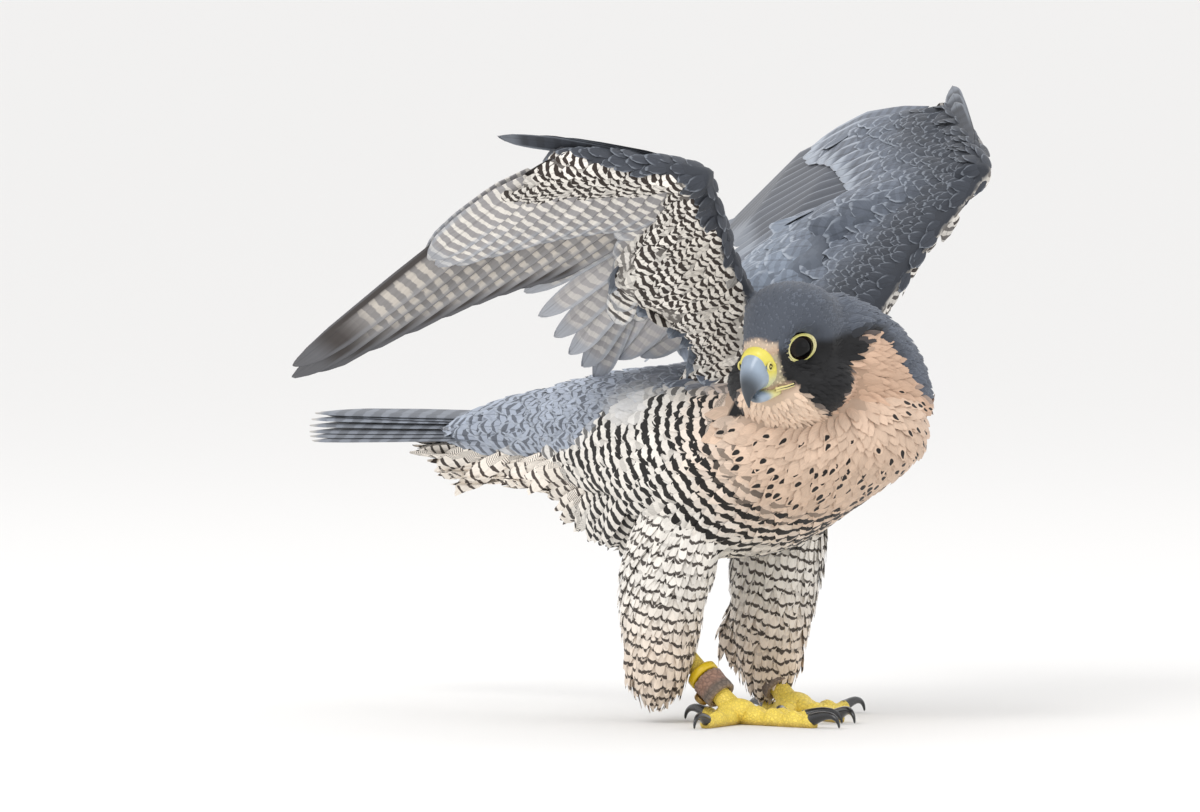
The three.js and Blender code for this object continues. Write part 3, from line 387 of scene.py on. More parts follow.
def layVane(sheet, root, tip, slope, lead, trail, shape):
    start, end = sheet.flatten(root), sheet.flatten(tip)
    long = end[1] - start[1]
    widen = math.hypot(long, end[0] - start[0]) / long
    places, shares = zip(*shape)

    def edges(t):
        middle = start[0] + (end[0] - start[0]) * t
        share = np.interp(np.clip(t, 0, 1), places, shares) * widen
        return middle + lead * share, middle - trail * share

    return {"start": start, "end": end, "long": long, "slope": slope, "edges": edges, "height": 0.0,
            "root": root, "tip": tip, "trail": trail}


def stackVane(vane, others, over=True, step=wingFeathers["step"]):
    # Lifts a vane until it clears every other one that it crosses, or lowers it under them.
    sense = 1 if over else -1
    heights = []
    for other in others:
        first = max(vane["start"][1], other["start"][1])
        last = min(vane["start"][1] + vane["long"], other["start"][1] + other["long"])
        if last <= first:
            continue
        far = np.arange(first, last, wingFeathers["sample"])
        a, b = vane["edges"]((far - vane["start"][1]) / vane["long"])
        c, d = other["edges"]((far - other["start"][1]) / other["long"])
        apart = np.maximum(np.minimum(a, b) - np.maximum(c, d), np.minimum(c, d) - np.maximum(a, b))
        needed = sense * (other["height"] + other["slope"] * far - vane["slope"] * far)
        heights += list(needed[apart < wingFeathers["apart"]] + step)
    if heights:
        vane["height"] = sense * max(heights)


def layWing(plan):
    sheet = Sheet(plan["wrist"], plan["back"], wayAt(plan["primaryLie"], 0.5), plan["camber"])
    outer, middle, inner = plan["slopes"]
    rows = (("primary", "finger", "wrist", (outer, middle)), ("secondary", "wrist", "elbow", (middle, inner)),
            ("tertial", "elbow", "shoulder", (inner, inner)))
    flights = []
    for kind, start, end, slopes in rows:
        sizes = wingFeathers[kind]
        for i, length in enumerate(sizes["lengths"]):
            t = i / (len(sizes["lengths"]) - 1)
            root = mix(plan[start], plan[end], mix(*sizes["roots"], t))
            length += plan["longer"][kind][i] if plan["longer"] else 0
            tip = root + wayAt(plan[f"{kind}Lie"], t) * length
            slope = mix(*slopes, t)
            lead, trail = (-plan["side"] * wide for wide in sizes["wide"])
            vane = layVane(sheet, root, tip, slope, lead, trail, longShape)
            if not flights:
                vane["height"] = plan["lowest"] - slope * vane["start"][1]
            stackVane(vane, flights)
            vane.update(kind=kind, order=i, share=t)
            flights.append(vane)
    return sheet, flights


wingLayouts = {sideName: layWing(plan) for sideName, plan in wingPlans.items()}


# The skin under the coat


trunkStations = [
    [-90, 134, 9, 9, 8], [-85, 134, 22, 20, 13], [-74, 134, 34, 29, 20], [-56, 132, 45, 37, 28],
    [-34, 129, 52, 41, 37], [-6, 125, 57, 45, 48], [22, 123, 55, 46, 49], [48, 123, 49, 44, 44],
    [72, 125, 42, 39, 38], [96, 128, 34, 33, 32], [116, 130, 27, 27, 27], [132, 131, 22, 22, 23],
    [150, 131, 20, 19, 22], [168, 131, 19, 14, 18], [184, 131, 18, 6, 12], [194, 131, 12, 2, 5],
]
neckStations = [
    [14, -48, 146, 36], [7, -52, 160, 33], [-9, -56, 171, 29], [-26, -57, 179, 25], [-35, -57, 182, 20],
]
headStations = [
    [-25, 5, -8, 8], [-21, 14, -16, 16], [-12, 21, -22, 22], [-1, 23.8, -24, 24], [8, 21.4, -23.5, 20.8],
    [15, 16, -22, 16.8], [20.5, 9.6, -20.5, 13], [25.5, 3.4, -19.5, 9.8], [28.5, 1, -18.6, 8],
]
thighStations = [
    [104, 7, -10, 19, 30], [84, 3, -5, 21, 29], [62, 0, 0, 21.5, 26], [42, 0, 2, 20, 22], [26, 0, 3, 17, 18],
    [19, 0, 3, 11, 12],
]
legs = {
    "right": {"side": -1, "toeIn": 0, "outerTurn": -72, "foot": vec(-20.5, -4.3, 0),
              "ankle": vec(-24, 36, 40), "thigh": vec(-38, 26, 60)},
    "left": {"side": 1, "toeIn": 22, "outerTurn": -112, "foot": vec(36, 10.5, 0), "ankle": vec(36, 47, 40),
             "thigh": vec(38, 24, 60)},
}
throatSizes = {"ahead": 2.5, "out": -4, "high": -23, "long": 24.5, "wide": 34, "tall": 20.5, "gap": 0.08}
# How far the skin lies inside the solids, and how finely it is fused.
skinSizes = {
    "voxel": 1.8, "trunk": 3.6, "neck": 1.0, "head": 0.2, "thigh": 5, "arm": 2.2, "throat": 1.5, "hand": 2,
    "hock": 8.5, "sides": 48, "relax": (0.5, 6),
}


def trunkArrays(inset):
    rings = []
    for y, z, wide, above, below in denser(trunkStations, 3):
        points = ringPoints(vec(0, y, z), vec(1, 0, 0), vec(0, 0, 1), skinSizes["sides"])
        offset = points - vec(0, y, z)
        offset[:, 0] *= max(wide - inset, 2)
        offset[:, 2] *= np.where(offset[:, 2] > 0, max(above - inset * 0.8, 1.5), max(below - inset, 1.5))
        rings.append(vec(0, y, z) + offset)
    return loftArrays(rings)


def neckArrays(inset):
    rows = denser(neckStations, 3)
    rings = []
    for i, (x, y, z, radius) in enumerate(rows):
        run = unit(rows[min(i + 1, len(rows) - 1)][:3] - rows[max(i - 1, 0)][:3])
        wide = unit(np.cross(run, vec(0, 0, 1)))
        tall = np.cross(run, wide)
        rings.append(ringPoints(vec(x, y, z), wide * (radius - inset), tall * (radius - inset), 40))
    return loftArrays(rings)


def headArrays(inset):
    rings = []
    for ahead, top, bottom, wide in denser(headStations, 4):
        middle, tall = (top + bottom) / 2, (top - bottom) / 2 - inset
        rings.append(ringPoints(headPoint(ahead, 0, middle), headSizes["left"] * (wide - inset),
                                headSizes["up"] * tall, 48, 0.9))
    return loftArrays(rings)


def thighArrays(leg, inset):
    rings = []
    for z, inward, back, wide, deep in denser(thighStations, 3):
        middle = vec(leg["thigh"][0] - leg["side"] * inward, leg["thigh"][1] + back, z)
        rings.append(ringPoints(middle, vec(wide - inset, 0, 0), vec(0, deep - inset, 0), 36))
    return loftArrays(rings)


def wingAxes(plan):
    chord = plan["elbow"] - mix(plan["shoulder"], plan["wrist"], 0.5)
    return plan["back"], unit(chord - plan["back"] * np.dot(chord, plan["back"]))


def armArrays(plan, inset):
    back, aft = wingAxes(plan)
    shoulder, elbow, wrist = plan["shoulder"], plan["elbow"], plan["wrist"]
    sections = [
        (plan["rootFront"], plan["rootBack"], 8, 10),
        (mix(shoulder, wrist, 0.12) - aft * 13, mix(shoulder, elbow, 0.25) + aft * 22, 9, 14),
        (mix(shoulder, wrist, 0.32) - aft * 7, mix(shoulder, elbow, 0.66) + aft * 16, 8, 15),
        (mix(shoulder, wrist, 0.52) - aft * 5, elbow + aft * 12, 7, 13),
        (mix(shoulder, wrist, 0.74) - aft * 5, mix(elbow, wrist, 0.42) + aft * 12, 7, 10),
        (mix(shoulder, wrist, 0.92) - aft * 5, mix(elbow, wrist, 0.8) + aft * 12, 6, 8),
        (mix(shoulder, wrist, 1.03) - aft * 2, wrist + aft * 10, 5, 5),
    ]
    rows = denser([np.concatenate([front, rear, (below, above)])
                   for front, rear, below, above in sections], 3)
    rings = []
    for row in rows:
        front, rear, below, above = row[:3], row[3:6], row[6], row[7]
        middle = (front + rear) / 2
        wide = front - middle
        tall = unit(back - wide * np.dot(back, wide) / np.dot(wide, wide))
        offset = ringPoints(vec(0, 0, 0), unit(wide) * (np.linalg.norm(wide) - inset), tall, 32)
        high = offset @ tall
        offset += np.outer(high * (np.where(high > 0, above - inset, below - inset) - 1), tall)
        rings.append(middle + offset)
    return loftArrays(rings)


# The bed of the coverts: a layer round the roots of the flight feathers that thins towards the rear. Its
# reach is a share of each kind of flight feather.
bedSizes = {
    "near": 6.4, "end": 3.0,
    "right": {"primary": 0.2, "secondary": 0.32, "tertial": 0.28},
    "left": {"primary": 0.4, "secondary": 0.7, "tertial": 0.82},
}


def bedArrays(sideName):
    sheet, flights = wingLayouts[sideName]
    shares = [bedSizes[sideName][vane["kind"]] for vane in flights]
    angle = np.linspace(0, 2 * math.pi, 28, endpoint=False)
    far = (1 + np.cos(angle)) / 2
    rings = []
    for place in np.linspace(0, len(flights) - 1, 3 * len(flights)):
        low = min(int(place), len(flights) - 2)
        t = place - low
        first, second = flights[low], flights[low + 1]
        root, tip = mix(first["root"], second["root"], t), mix(first["tip"], second["tip"], t)
        reach = mix(shares[low], shares[low + 1], t)
        flat = np.array([sheet.flatten(mix(root, tip, reach * f)) for f in far])
        slope = mix(first["slope"], second["slope"], t)
        high = mix(first["height"], second["height"], t) + slope * flat[:, 1]
        high += np.sin(angle) * mix(bedSizes["near"], bedSizes["end"], far)
        rings.append(sheet.toSpace(flat[:, 0], flat[:, 1], high))
    return loftArrays(rings)


def throatArrays(inset):
    centre = headPoint(throatSizes["ahead"], throatSizes["out"], throatSizes["high"])
    run, wide, tall = (headSizes[axis] * (throatSizes[size] - inset)
                       for axis, size in (("forward", "long"), ("left", "wide"), ("up", "tall")))
    return ovalArrays(centre, run, wide, tall, throatSizes["gap"], 22, 36)


def hockArrays(leg):
    # The feathered hock closes the hem of the thigh.
    run, wide, tall = np.eye(3)[[2, 0, 1]] * skinSizes["hock"]
    return ovalArrays(leg["ankle"] + vec(0, -3, 1), run, wide, tall, 0.12, 12, 20)


def handArrays(plan, inset):
    back, aft = wingAxes(plan)
    reach = unit(plan["finger"] - plan["wrist"])
    side = unit(np.cross(back, reach))
    side = side if np.dot(side, aft) > 0 else -side
    rings = []
    stations = [[-2, 7, 6.5], [12, 9.5, 7], [34, 9, 6.6], [58, 7, 5.8], [76, 4.5, 3.8]]
    for far, wide, thick in denser(stations, 3):
        middle = plan["wrist"] + reach * far + side * 2 + back
        rings.append(ringPoints(middle, side * (wide - inset), back * (thick + 1.5 - inset), 24))
    return loftArrays(rings)


partShapes = {
    "trunk": trunkArrays(skinSizes["trunk"]), "neck": neckArrays(skinSizes["neck"]),
    "head": headArrays(skinSizes["head"]), "throat": throatArrays(skinSizes["throat"]),
}
for sideName, plan in wingPlans.items():
    partShapes[f"{sideName}Arm"] = armArrays(plan, skinSizes["arm"])
    partShapes[f"{sideName}Bed"] = bedArrays(sideName)
    partShapes[f"{sideName}Hand"] = handArrays(plan, skinSizes["hand"])
    thigh = thighArrays(legs[sideName], skinSizes["thigh"])
    partShapes[f"{sideName}Thigh"] = joinArrays([thigh, hockArrays(legs[sideName])])
partNames = list(partShapes)


def makeTree(points, faces):
    return BVHTree.FromPolygons([tuple(p) for p in points], [tuple(f) for f in faces])


partTrees = [makeTree(*shape) for shape in partShapes.values()]


def makeSkin():
    rough = meshFromArrays("roughSkin", *joinArrays(partShapes.values()))
    remesh = rough.modifiers.new("fuse", "REMESH")
    remesh.mode, remesh.voxel_size = "VOXEL", skinSizes["voxel"] * 0.001
    relax = rough.modifiers.new("relax", "SMOOTH")
    relax.factor, relax.iterations = skinSizes["relax"]
    depsgraph = bpy.context.evaluated_depsgraph_get()
    mesh = bpy.data.meshes.new_from_object(rough.evaluated_get(depsgraph))
    bpy.data.objects.remove(rough)
    mesh.calc_loop_triangles()

    def read(items, field, kind):
        values = np.empty(len(items) * 3, dtype=kind)
        items.foreach_get(field, values)
        return values.reshape(-1, 3)

    places = read(mesh.vertices, "co", np.float32) * 1000 - birdShift
    normals = unit(read(mesh.vertices, "normal", np.float32))
    triangles = read(mesh.loop_triangles, "vertices", np.int32)
    bpy.data.meshes.remove(mesh)
    return places, normals, triangles


# How deep the skin lies at each distance from the line of sight, and where it goes back to its own place.
socketSizes = {"off": [0, 5.6, 7.0, 8.6, 11], "deep": [-4, -2, 4.2, 4.9, 6.2], "free": (9, 13.5), "reach": 14}


def sinkSockets(points):
    # The skin round each eye sinks to the rim of the lids, and goes under the eyeball inside them.
    for side in (1, -1):
        look, _, _, centre = eyeFrame(side)
        offset = points - centre
        deep = offset @ look
        off = np.linalg.norm(offset - np.outer(deep, look), axis=1)
        target = np.interp(off, socketSizes["off"], socketSizes["deep"])
        keep = smooth(*socketSizes["free"], off)
        near = (deep > -2) & (off < socketSizes["reach"])
        wanted = np.minimum(deep, target) * (1 - keep) + deep * keep
        points[near] += np.outer((wanted - deep)[near], look)
    return points


skinPoints, skinNormals, skinFaces = makeSkin()
skinPoints = sinkSockets(skinPoints)
skinTree = makeTree(skinPoints, skinFaces)
print("skin:", len(skinPoints), "points,", len(skinFaces), "triangles")


def nearestParts(points):
    return np.array([np.argmin([tree.find_nearest(Vector(point))[3] for tree in partTrees])
                     for point in points])


# Where each colour lies on the bird


ink = {name: srgb(code) for name, code in {
    "black": "#1b1b1d", "hood": "#555b66", "throat": "#e8cdb5", "lores": "#c2bb9c", "forehead": "#d9c3ac",
    "mantle": "#5a616e", "ventBuff": "#f4ebdf", "softGrey": "#d3d3d3", "rump": "#a3abb9", "tail": "#7a808a",
    "peach": "#d0af96", "cream": "#e3cfbb", "white": "#e9e4dc", "offWhite": "#ddd6cb", "bar": "#1f1c1b",
    "barBrown": "#352c27", "greyUnder": "#aaa7a8", "paleUnder": "#d9d5cf", "primaryUnder": "#868382",
    "primaryUpper": "#3f444e", "primaryTip": "#383230", "buff": "#d3cbc0", "wingUpper": "#666d79",
    "wingDark": "#3d4149", "scapular": "#828c9a",
}.items()}
ink["breast"] = ink["peach"] * 0.6 + ink["cream"] * 0.4
throat = vec(-30, -78, 172)
billBase = headPoint(28, 0, -8)


def pick(mask, value, tone):
    return tone * (1 - mask[:, None]) + value * mask[:, None]


def columns(count, *values):
    return np.stack([value * np.ones(count) for value in values], axis=1)


# The hood round the face. Edge: degrees from the bill, and height of its lower edge. Pale is the patch over
# the cere. In each pair something starts at the first number and is full at the second.
hoodLook = {
    "edge": [
        (0, -12), (24, -14), (30, -16), (37, -17), (42, -22), (51, -29), (60, -36), (66, -38.5), (76, -38),
        (84, -35), (88, -29), (98, -23.5), (112, -19), (124, -14), (131, -9.5), (137, -9.5), (141, -16),
        (145, -36), (150, -52), (180, -60),
    ],
    "soft": 1.2, "paleTurn": (26.5, 23.5), "paleHigh": (7.2, 5.6), "cheekHigh": (0, -5),
    "cheekTurn": (150, 138), "throatHigh": (-14, -22), "throatAhead": (-4, 10), "forehead": (0, 2.5),
    "lores": (1, -3), "loresEnd": (-17, -14), "nape": (-16, -34),
}


def faceMasks(points, edge):
    # The hood with its lobe below the eye, the same on both sides, and the pale patch over the cere.
    look = hoodLook
    offset = points - headSizes["centre"]
    ahead, out, up = (offset @ headSizes[key] for key in ("forward", "left", "up"))
    turn = np.abs(out)
    degrees = np.degrees(np.arctan2(turn, ahead)) + 1.2 * edge
    hood = smooth(-look["soft"], look["soft"], up - np.interp(degrees, *zip(*look["edge"])) + 0.8 * edge)
    pale = smooth(*look["paleTurn"], degrees) * smooth(*look["paleHigh"], up + 0.3 * turn)
    hood = hood * (1 - pale)
    cheek = hood * smooth(*look["cheekHigh"], up - 0.12 * ahead) * smooth(*look["cheekTurn"], degrees)
    return hood, cheek, pale, ahead, turn, up


def isWing(names, sideName):
    return np.isin(names, [f"{sideName}{kind}" for kind in ("Arm", "Hand", "Bed")])


def edgeDistance(points, plan):
    # How far from the line along the front of a wing, and how far behind it.
    back, aft = wingAxes(plan)
    behindHand = unit(np.cross(back, plan["finger"] - plan["wrist"]))
    behindHand = behindHand * math.copysign(1, behindHand @ aft)
    near, behind = np.full(len(points), 1e9), np.zeros(len(points))
    for first, second, way in (("rootFront", "shoulder", aft), ("shoulder", "wrist", aft),
                               ("wrist", "finger", behindHand)):
        start, end = plan[first], plan[second]
        run = end - start
        share = np.clip((points - start) @ run / (run @ run), 0, 1)
        offset = points - start - share[:, None] * run
        distance = np.linalg.norm(offset, axis=1)
        behind = np.where(distance < near, offset @ way, behind)
        near = np.minimum(near, distance)
    return near, behind


def wingGrade(points, names):
    # 0 along the leading edge of a wing, and 1 where its rear coverts end.
    grade = np.full(len(points), 0.5)
    for sideName, plan in wingPlans.items():
        near, _ = edgeDistance(points, plan)
        chosen = isWing(names, sideName)
        grade[chosen] = smooth(6, 70, near)[chosen]
    return grade


# BackLine is the height at which the slate of the back ends, by the distance towards the tail.
trunkLook = {
    "backLine": ([-90, -56, -40, -20, 20, 45, 60, 80, 102, 150, 200],
                 [190, 182, 166, 158, 154, 151, 143, 130, 124, 123, 126]),
    "backSoft": 2.5, "rump": (52, 80), "peach": (14, -42), "ventBack": (84, 112), "ventHigh": (125, 112),
    "bars": (66, 78), "duty": ([60, 80, 130, 220], [0.38, 0.52, 0.52, 0.4]), "ventDuty": 0.2,
    "spacing": ([60, 140], [5.9, 6.3]), "ventSpacing": 2, "rumpBars": 0.45, "backBars": 0.3,
    "dropChance": (0.8, 0.55), "dropFar": (30, 66), "dropsFrom": 26,
    "softAt": (46, 147), "softSize": (15, 9), "softBars": (0.25, 0.6),
}


def trunkPlumage(points, far, hood, chance):
    # Slate back, blue-grey rump, peach breast with drops, barred white flanks, and buff under the tail.
    look = trunkLook
    y, z = points[:, 1], points[:, 2]
    vary = chance - 0.5
    backMask = smooth(-look["backSoft"], look["backSoft"], z - np.interp(y, *look["backLine"]) + 5 * vary)
    rumpMask = smooth(*look["rump"], y)
    ventMask = smooth(*look["ventBack"], y) * smooth(*look["ventHigh"], z)
    peachMask = smooth(*look["peach"], y - 0.32 * (z - 120))
    back = pick(rumpMask, ink["rump"], ink["mantle"])
    belly = pick(ventMask, ink["ventBuff"], pick(peachMask, ink["breast"], ink["white"]))
    barMask = smooth(*look["bars"], far + 9 * vary - 0.28 * (120 - z) + 0.1 * y)
    bars = np.maximum(barMask * (1 - backMask), (look["rumpBars"] * rumpMask + look["backBars"]) * backMask)
    duty = np.interp(far, *look["duty"]) - look["ventDuty"] * ventMask
    phase = far / (np.interp(far, *look["spacing"]) + look["ventSpacing"] * (ventMask > 0.5))
    rare = mix(*look["dropChance"], smooth(*look["dropFar"], far))
    drops = (barMask < 0.5) * (backMask < 0.5) * (hood < 0.3) * (chance > rare)
    drops = drops * (far > look["dropsFrom"] + 10 * chance)
    # Loose grey feathers lie over the flank behind the wing.
    soft = np.exp(-((y - look["softAt"][0]) / look["softSize"][0]) ** 2
                  - ((z - look["softAt"][1]) / look["softSize"][1]) ** 2)
    tone = pick(soft, ink["softGrey"], pick(backMask, back, belly))
    bands = columns(len(y), bars * (1 - smooth(*look["softBars"], soft)), phase, duty)
    marks = columns(len(y), drops, 0.8 * backMask, 0.5 * backMask)
    dark = pick(backMask, ink["wingDark"], pick(ventMask, ink["barBrown"] * 1.8, ink["bar"]))
    return tone, dark, bands, marks, drops


def facePlumage(masks, names, drops):
    # Black hood and cheek, peach crescent behind the cheek, clean cream throat.
    look = hoodLook
    hood, cheek, pale, ahead, _, up = masks
    chin = smooth(*look["throatHigh"], up) * smooth(*look["throatAhead"], ahead)
    tone = pick(chin, ink["throat"], ink["peach"])
    tone = pick(pale * smooth(*look["forehead"], up), ink["forehead"], tone)
    tone = pick(0.8 * pale * smooth(*look["lores"], up) * smooth(*look["loresEnd"], up), ink["lores"], tone)
    nape = ink["hood"] * 0.5 + ink["mantle"] * 0.5
    tone = pick(hood, pick(smooth(*look["nape"], ahead), nape, ink["hood"]), tone)
    slate = hood * (1 - cheek)
    marks = columns(len(hood), drops * (names == "neck"), 0.22 * slate, 0.8 * slate)
    return pick(cheek, ink["black"], tone), marks


# Grade runs from 0 at the leading edge to 1 at the rear coverts. Fold is how far the slate of the upper side
# reaches round the leading edge, by the distance from the shoulder.
wingLook = {
    "fold": ([0, 40, 85, 110], [-4, -1.5, 4.5, 7]), "foldSoft": 0.3, "hand": 8, "frontWay": (-0.12, -0.4),
    "frontGrade": (0.2, 0.08), "frontFacing": (-0.2, 0), "upper": 0.3, "dark": (0.55, 0.05),
    "scapular": (6, -30), "buffGrade": (0.3, 0.1), "buffSpan": (105, 60), "rearGrade": (0.72, 0.9),
    "rearOut": (4, 16),
}


def wingPlumage(points, normals, names, grade, chance, sideName):
    # Slate above with pale fringes, white below with dark bars, buff and slate at the leading edge.
    look, plan = wingLook, wingPlans[sideName]
    _, aft = wingAxes(plan)
    low = np.where(names == f"{sideName}Hand", -0.3, np.where(grade > 0.6, -0.3 * plan["side"], 0.0))
    facing = normals @ plan["back"]
    upper = smooth(0, look["upper"], facing - low)
    span = (points - plan["shoulder"]) @ unit(plan["wrist"] - plan["shoulder"])
    outward = (points - plan["elbow"]) @ unit(plan["wrist"] - plan["elbow"])
    front = smooth(*look["frontWay"], normals @ aft) * smooth(*look["frontGrade"], grade)
    front = front * smooth(*look["frontFacing"], facing)
    if sideName == "right":
        _, behind = edgeDistance(points, plan)
        onHand = (points - plan["wrist"]) @ unit(plan["finger"] - plan["wrist"]) > look["hand"]
        fold = np.where(onHand, 0, np.interp(span, *look["fold"]))
        front = np.maximum(front, smooth(fold + look["foldSoft"], fold - look["foldSoft"],
                                         behind + 3 * (chance - 0.5)))
    leading = np.clip(np.maximum(upper, front), 0, 1)
    slate = pick(smooth(*look["dark"], grade), ink["wingDark"], ink["wingUpper"])
    slate = pick(smooth(*look["scapular"], outward), ink["scapular"], slate)
    buff = (1 - leading) * smooth(*look["buffGrade"], grade) * smooth(*look["buffSpan"], span)
    buff = buff * (sideName == "right")
    rear = (1 - leading) * smooth(*look["rearGrade"], grade) * smooth(*look["rearOut"], outward)
    tone = pick(0.55 * buff, ink["buff"], pick(leading, slate, ink["white"]))
    tone = pick(0.5 * rear, ink["greyUnder"], tone)
    dark = pick(0.85 * rear, ink["paleUnder"], pick(leading, ink["wingDark"], ink["barBrown"]))
    bands = columns(len(points), mix(1.0, 0.28, leading), 1, mix(0.55 - 0.1 * buff, 0.5, leading))
    marks = columns(len(points), 0, mix(0.45, 1.0, grade) * leading, 0.4)
    return tone, dark, bands, marks


thighLook = {"cream": (70, 26), "creamShare": 0.75, "bars": 0.95, "slant": 0.3, "spacing": 5.8, "duty": 0.2}


def thighPlumage(points):
    # White going buff at the hem, with thin dark bars.
    look, count = thighLook, len(points)
    y, z = points[:, 1], points[:, 2]
    tone = pick(look["creamShare"] * smooth(*look["cream"], z), ink["cream"], ink["white"])
    bands = columns(count, look["bars"], (look["slant"] * y - z) / look["spacing"], look["duty"])
    return tone, np.tile(ink["barBrown"], (count, 1)), bands, np.zeros((count, 3))


def plumage(points, normals, parts, chance):
    # At each point: ground colour, colour of the marks, bars (strength, phase, share of dark) and marks
    # (drop, fringe, shaft).
    names = np.array(partNames)[parts]
    far = np.linalg.norm(points - throat, axis=1)
    masks = faceMasks(points, 2.2 * (chance - 0.5))
    hood, _, _, ahead, turn, up = masks
    *looks, drops = trunkPlumage(points, far, hood, chance)
    tone, dark, bands, marks = looks

    face = np.isin(names, ["head", "throat", "neck"])
    faceTone, faceMarks = facePlumage(masks, names, drops)
    tone[face], marks[face], bands[face] = faceTone[face], faceMarks[face], 0
    # The hood and the breast go on where the trunk meets the head.
    body = names == "trunk"
    near = body & (hood > 0.4) & (ahead > -26) & (turn < 36) & (ahead < 18)
    tone[near] = pick(hood, ink["black"], tone)[near]
    beyond = body & (turn > 36) & (turn < 43) & (up > -44) & (ahead > -8) & (points[:, 2] < 158)
    tone[beyond] = ink["breast"]
    marks[near | beyond] = 0
    bands[near | beyond] = 0

    grade = wingGrade(points, names)
    for sideName in wingPlans:
        wing, thigh = isWing(names, sideName), names == f"{sideName}Thigh"
        wingLooks = wingPlumage(points, normals, names, grade, chance, sideName)
        for values, ofWing, ofThigh in zip(looks, wingLooks, thighPlumage(points)):
            values[wing] = ofWing[wing]
            values[thigh] = ofThigh[thigh]
    return looks


# The lie of the feathers: away from the throat and then to the tail, and away from the bill on the head.
flowSizes = {"fromThroat": 1.6, "fade": 70, "toTail": 60}


def flowAt(points, parts):
    names = np.array(partNames)[parts]
    look = flowSizes
    far = np.linalg.norm(points - throat, axis=1)[:, None]
    lie = unit(unit(points - throat) * look["fromThroat"] * np.exp(-far / look["fade"])
               + vec(0, 1, 0) * (1 - np.exp(-far / look["toTail"])))
    isHead = np.isin(names, ["head", "throat", "neck"])
    lie[isHead] = unit(unit(points[isHead] - billBase) + vec(0, 0, -0.1))
    for sideName, plan in wingPlans.items():
        _, aft = wingAxes(plan)
        outward = unit(plan["wrist"] - plan["elbow"])
        lie[isWing(names, sideName)] = unit(unit(vec(*plan["secondaryLie"][0])) + aft * 0.5 - outward * 0.15)
        lie[names == f"{sideName}Thigh"] = unit(vec(0, 0.22, -1))
    return lie


# Each part's unwrap: its own tile of the map, round its axis and along it.
partAxes = {
    "trunk": (vec(0, -90, 130), vec(0, 1, 0), 285),
    "neck": (vec(20, -46, 140), unit(vec(-0.75, -0.12, 0.6)), 80),
    "head": (headPoint(-26, 0, -2), headSizes["forward"], 56),
    "throat": (headPoint(-22, 0, -24), headSizes["forward"], 48),
    "rightArm": (wingPlans["right"]["rootFront"], unit(vec(-0.6, 0.1, 0.75)), 150),
    "leftArm": (wingPlans["left"]["rootFront"], unit(vec(0.6, 0.1, 0.75)), 150),
    "rightBed": (wingPlans["right"]["elbow"], unit(vec(-0.25, -0.7, 0.5)), 120),
    "leftBed": (wingPlans["left"]["elbow"], unit(vec(0.25, -0.7, 0.45)), 120),
    "rightHand": (wingPlans["right"]["wrist"], unit(vec(-0.38, 0.88, 0.15)), 85),
    "leftHand": (wingPlans["left"]["wrist"], unit(vec(0.53, 0.72, 0.37)), 85),
    "rightThigh": (vec(-38, 26, 110), vec(0, 0, -1), 95),
    "leftThigh": (vec(38, 24, 110), vec(0, 0, -1), 95),
}
mapSizes = {"tiles": 4, "rim": 0.04, "round": 0.9, "along": 0.92, "seam": 0.11}


def skinMap(points, parts):
    uv = np.zeros((len(points), 2))
    tiles, rim = mapSizes["tiles"], mapSizes["rim"]
    for index, name in enumerate(partNames):
        chosen = parts == index
        origin, axis, length = partAxes[name]
        first = unit(np.cross(axis, vec(0.31, 0.2, 0.93)))
        second = np.cross(axis, first)
        offset = points[chosen] - origin
        angle = np.arctan2(offset @ second, offset @ first) / (2 * math.pi) + 0.5
        reach = np.clip((offset @ axis) / length, 0, 1)
        uv[chosen, 0] = (index % tiles + rim + mapSizes["round"] * angle) / tiles
        uv[chosen, 1] = (index // tiles + rim + mapSizes["along"] * reach) / tiles
    return uv


skinParts = nearestParts(skinPoints)
rng = np.random.default_rng(7)
skinTone, skinInk, skinBands, skinMarks = plumage(
    skinPoints, skinNormals, skinParts, np.full(len(skinPoints), 0.5))
faceParts = skinParts[skinFaces[:, 0]]
cornerUv = skinMap(skinPoints[skinFaces.ravel()], np.repeat(faceParts, 3)).reshape(-1, 3, 2)
# Triangles that cross the seam of their tile go on past it.
around = cornerUv[..., 0]
crossing = around.max(axis=1) - around.min(axis=1) > mapSizes["seam"]
below = around < around.mean(axis=1, keepdims=True)
around[below & crossing[:, None]] += mapSizes["round"] / mapSizes["tiles"]
skinAttributes = {
    "tone": skinTone * 0.8, "ink": skinInk, "place": np.full((len(skinPoints), 3), 0.5),
    "bands": skinBands * (0.8, 1, 1), "marks": skinMarks * 0,
}
cornerUv = cornerUv.reshape(-1, 2)
skin = meshFromArrays("bodySkin", skinPoints, skinFaces, skinAttributes, cornerUv, contourKeratin)
finish(skin, "breast_plumage", "torso", "neck", "head", "wing_right_arm", "wing_right_hand", "wing_left_arm",
       "wing_left_hand", "tail", "thigh_right", "thigh_left")
print("skin: coloured and mapped")


# Feathers of the body: small curved vanes that lie over each other along the flow

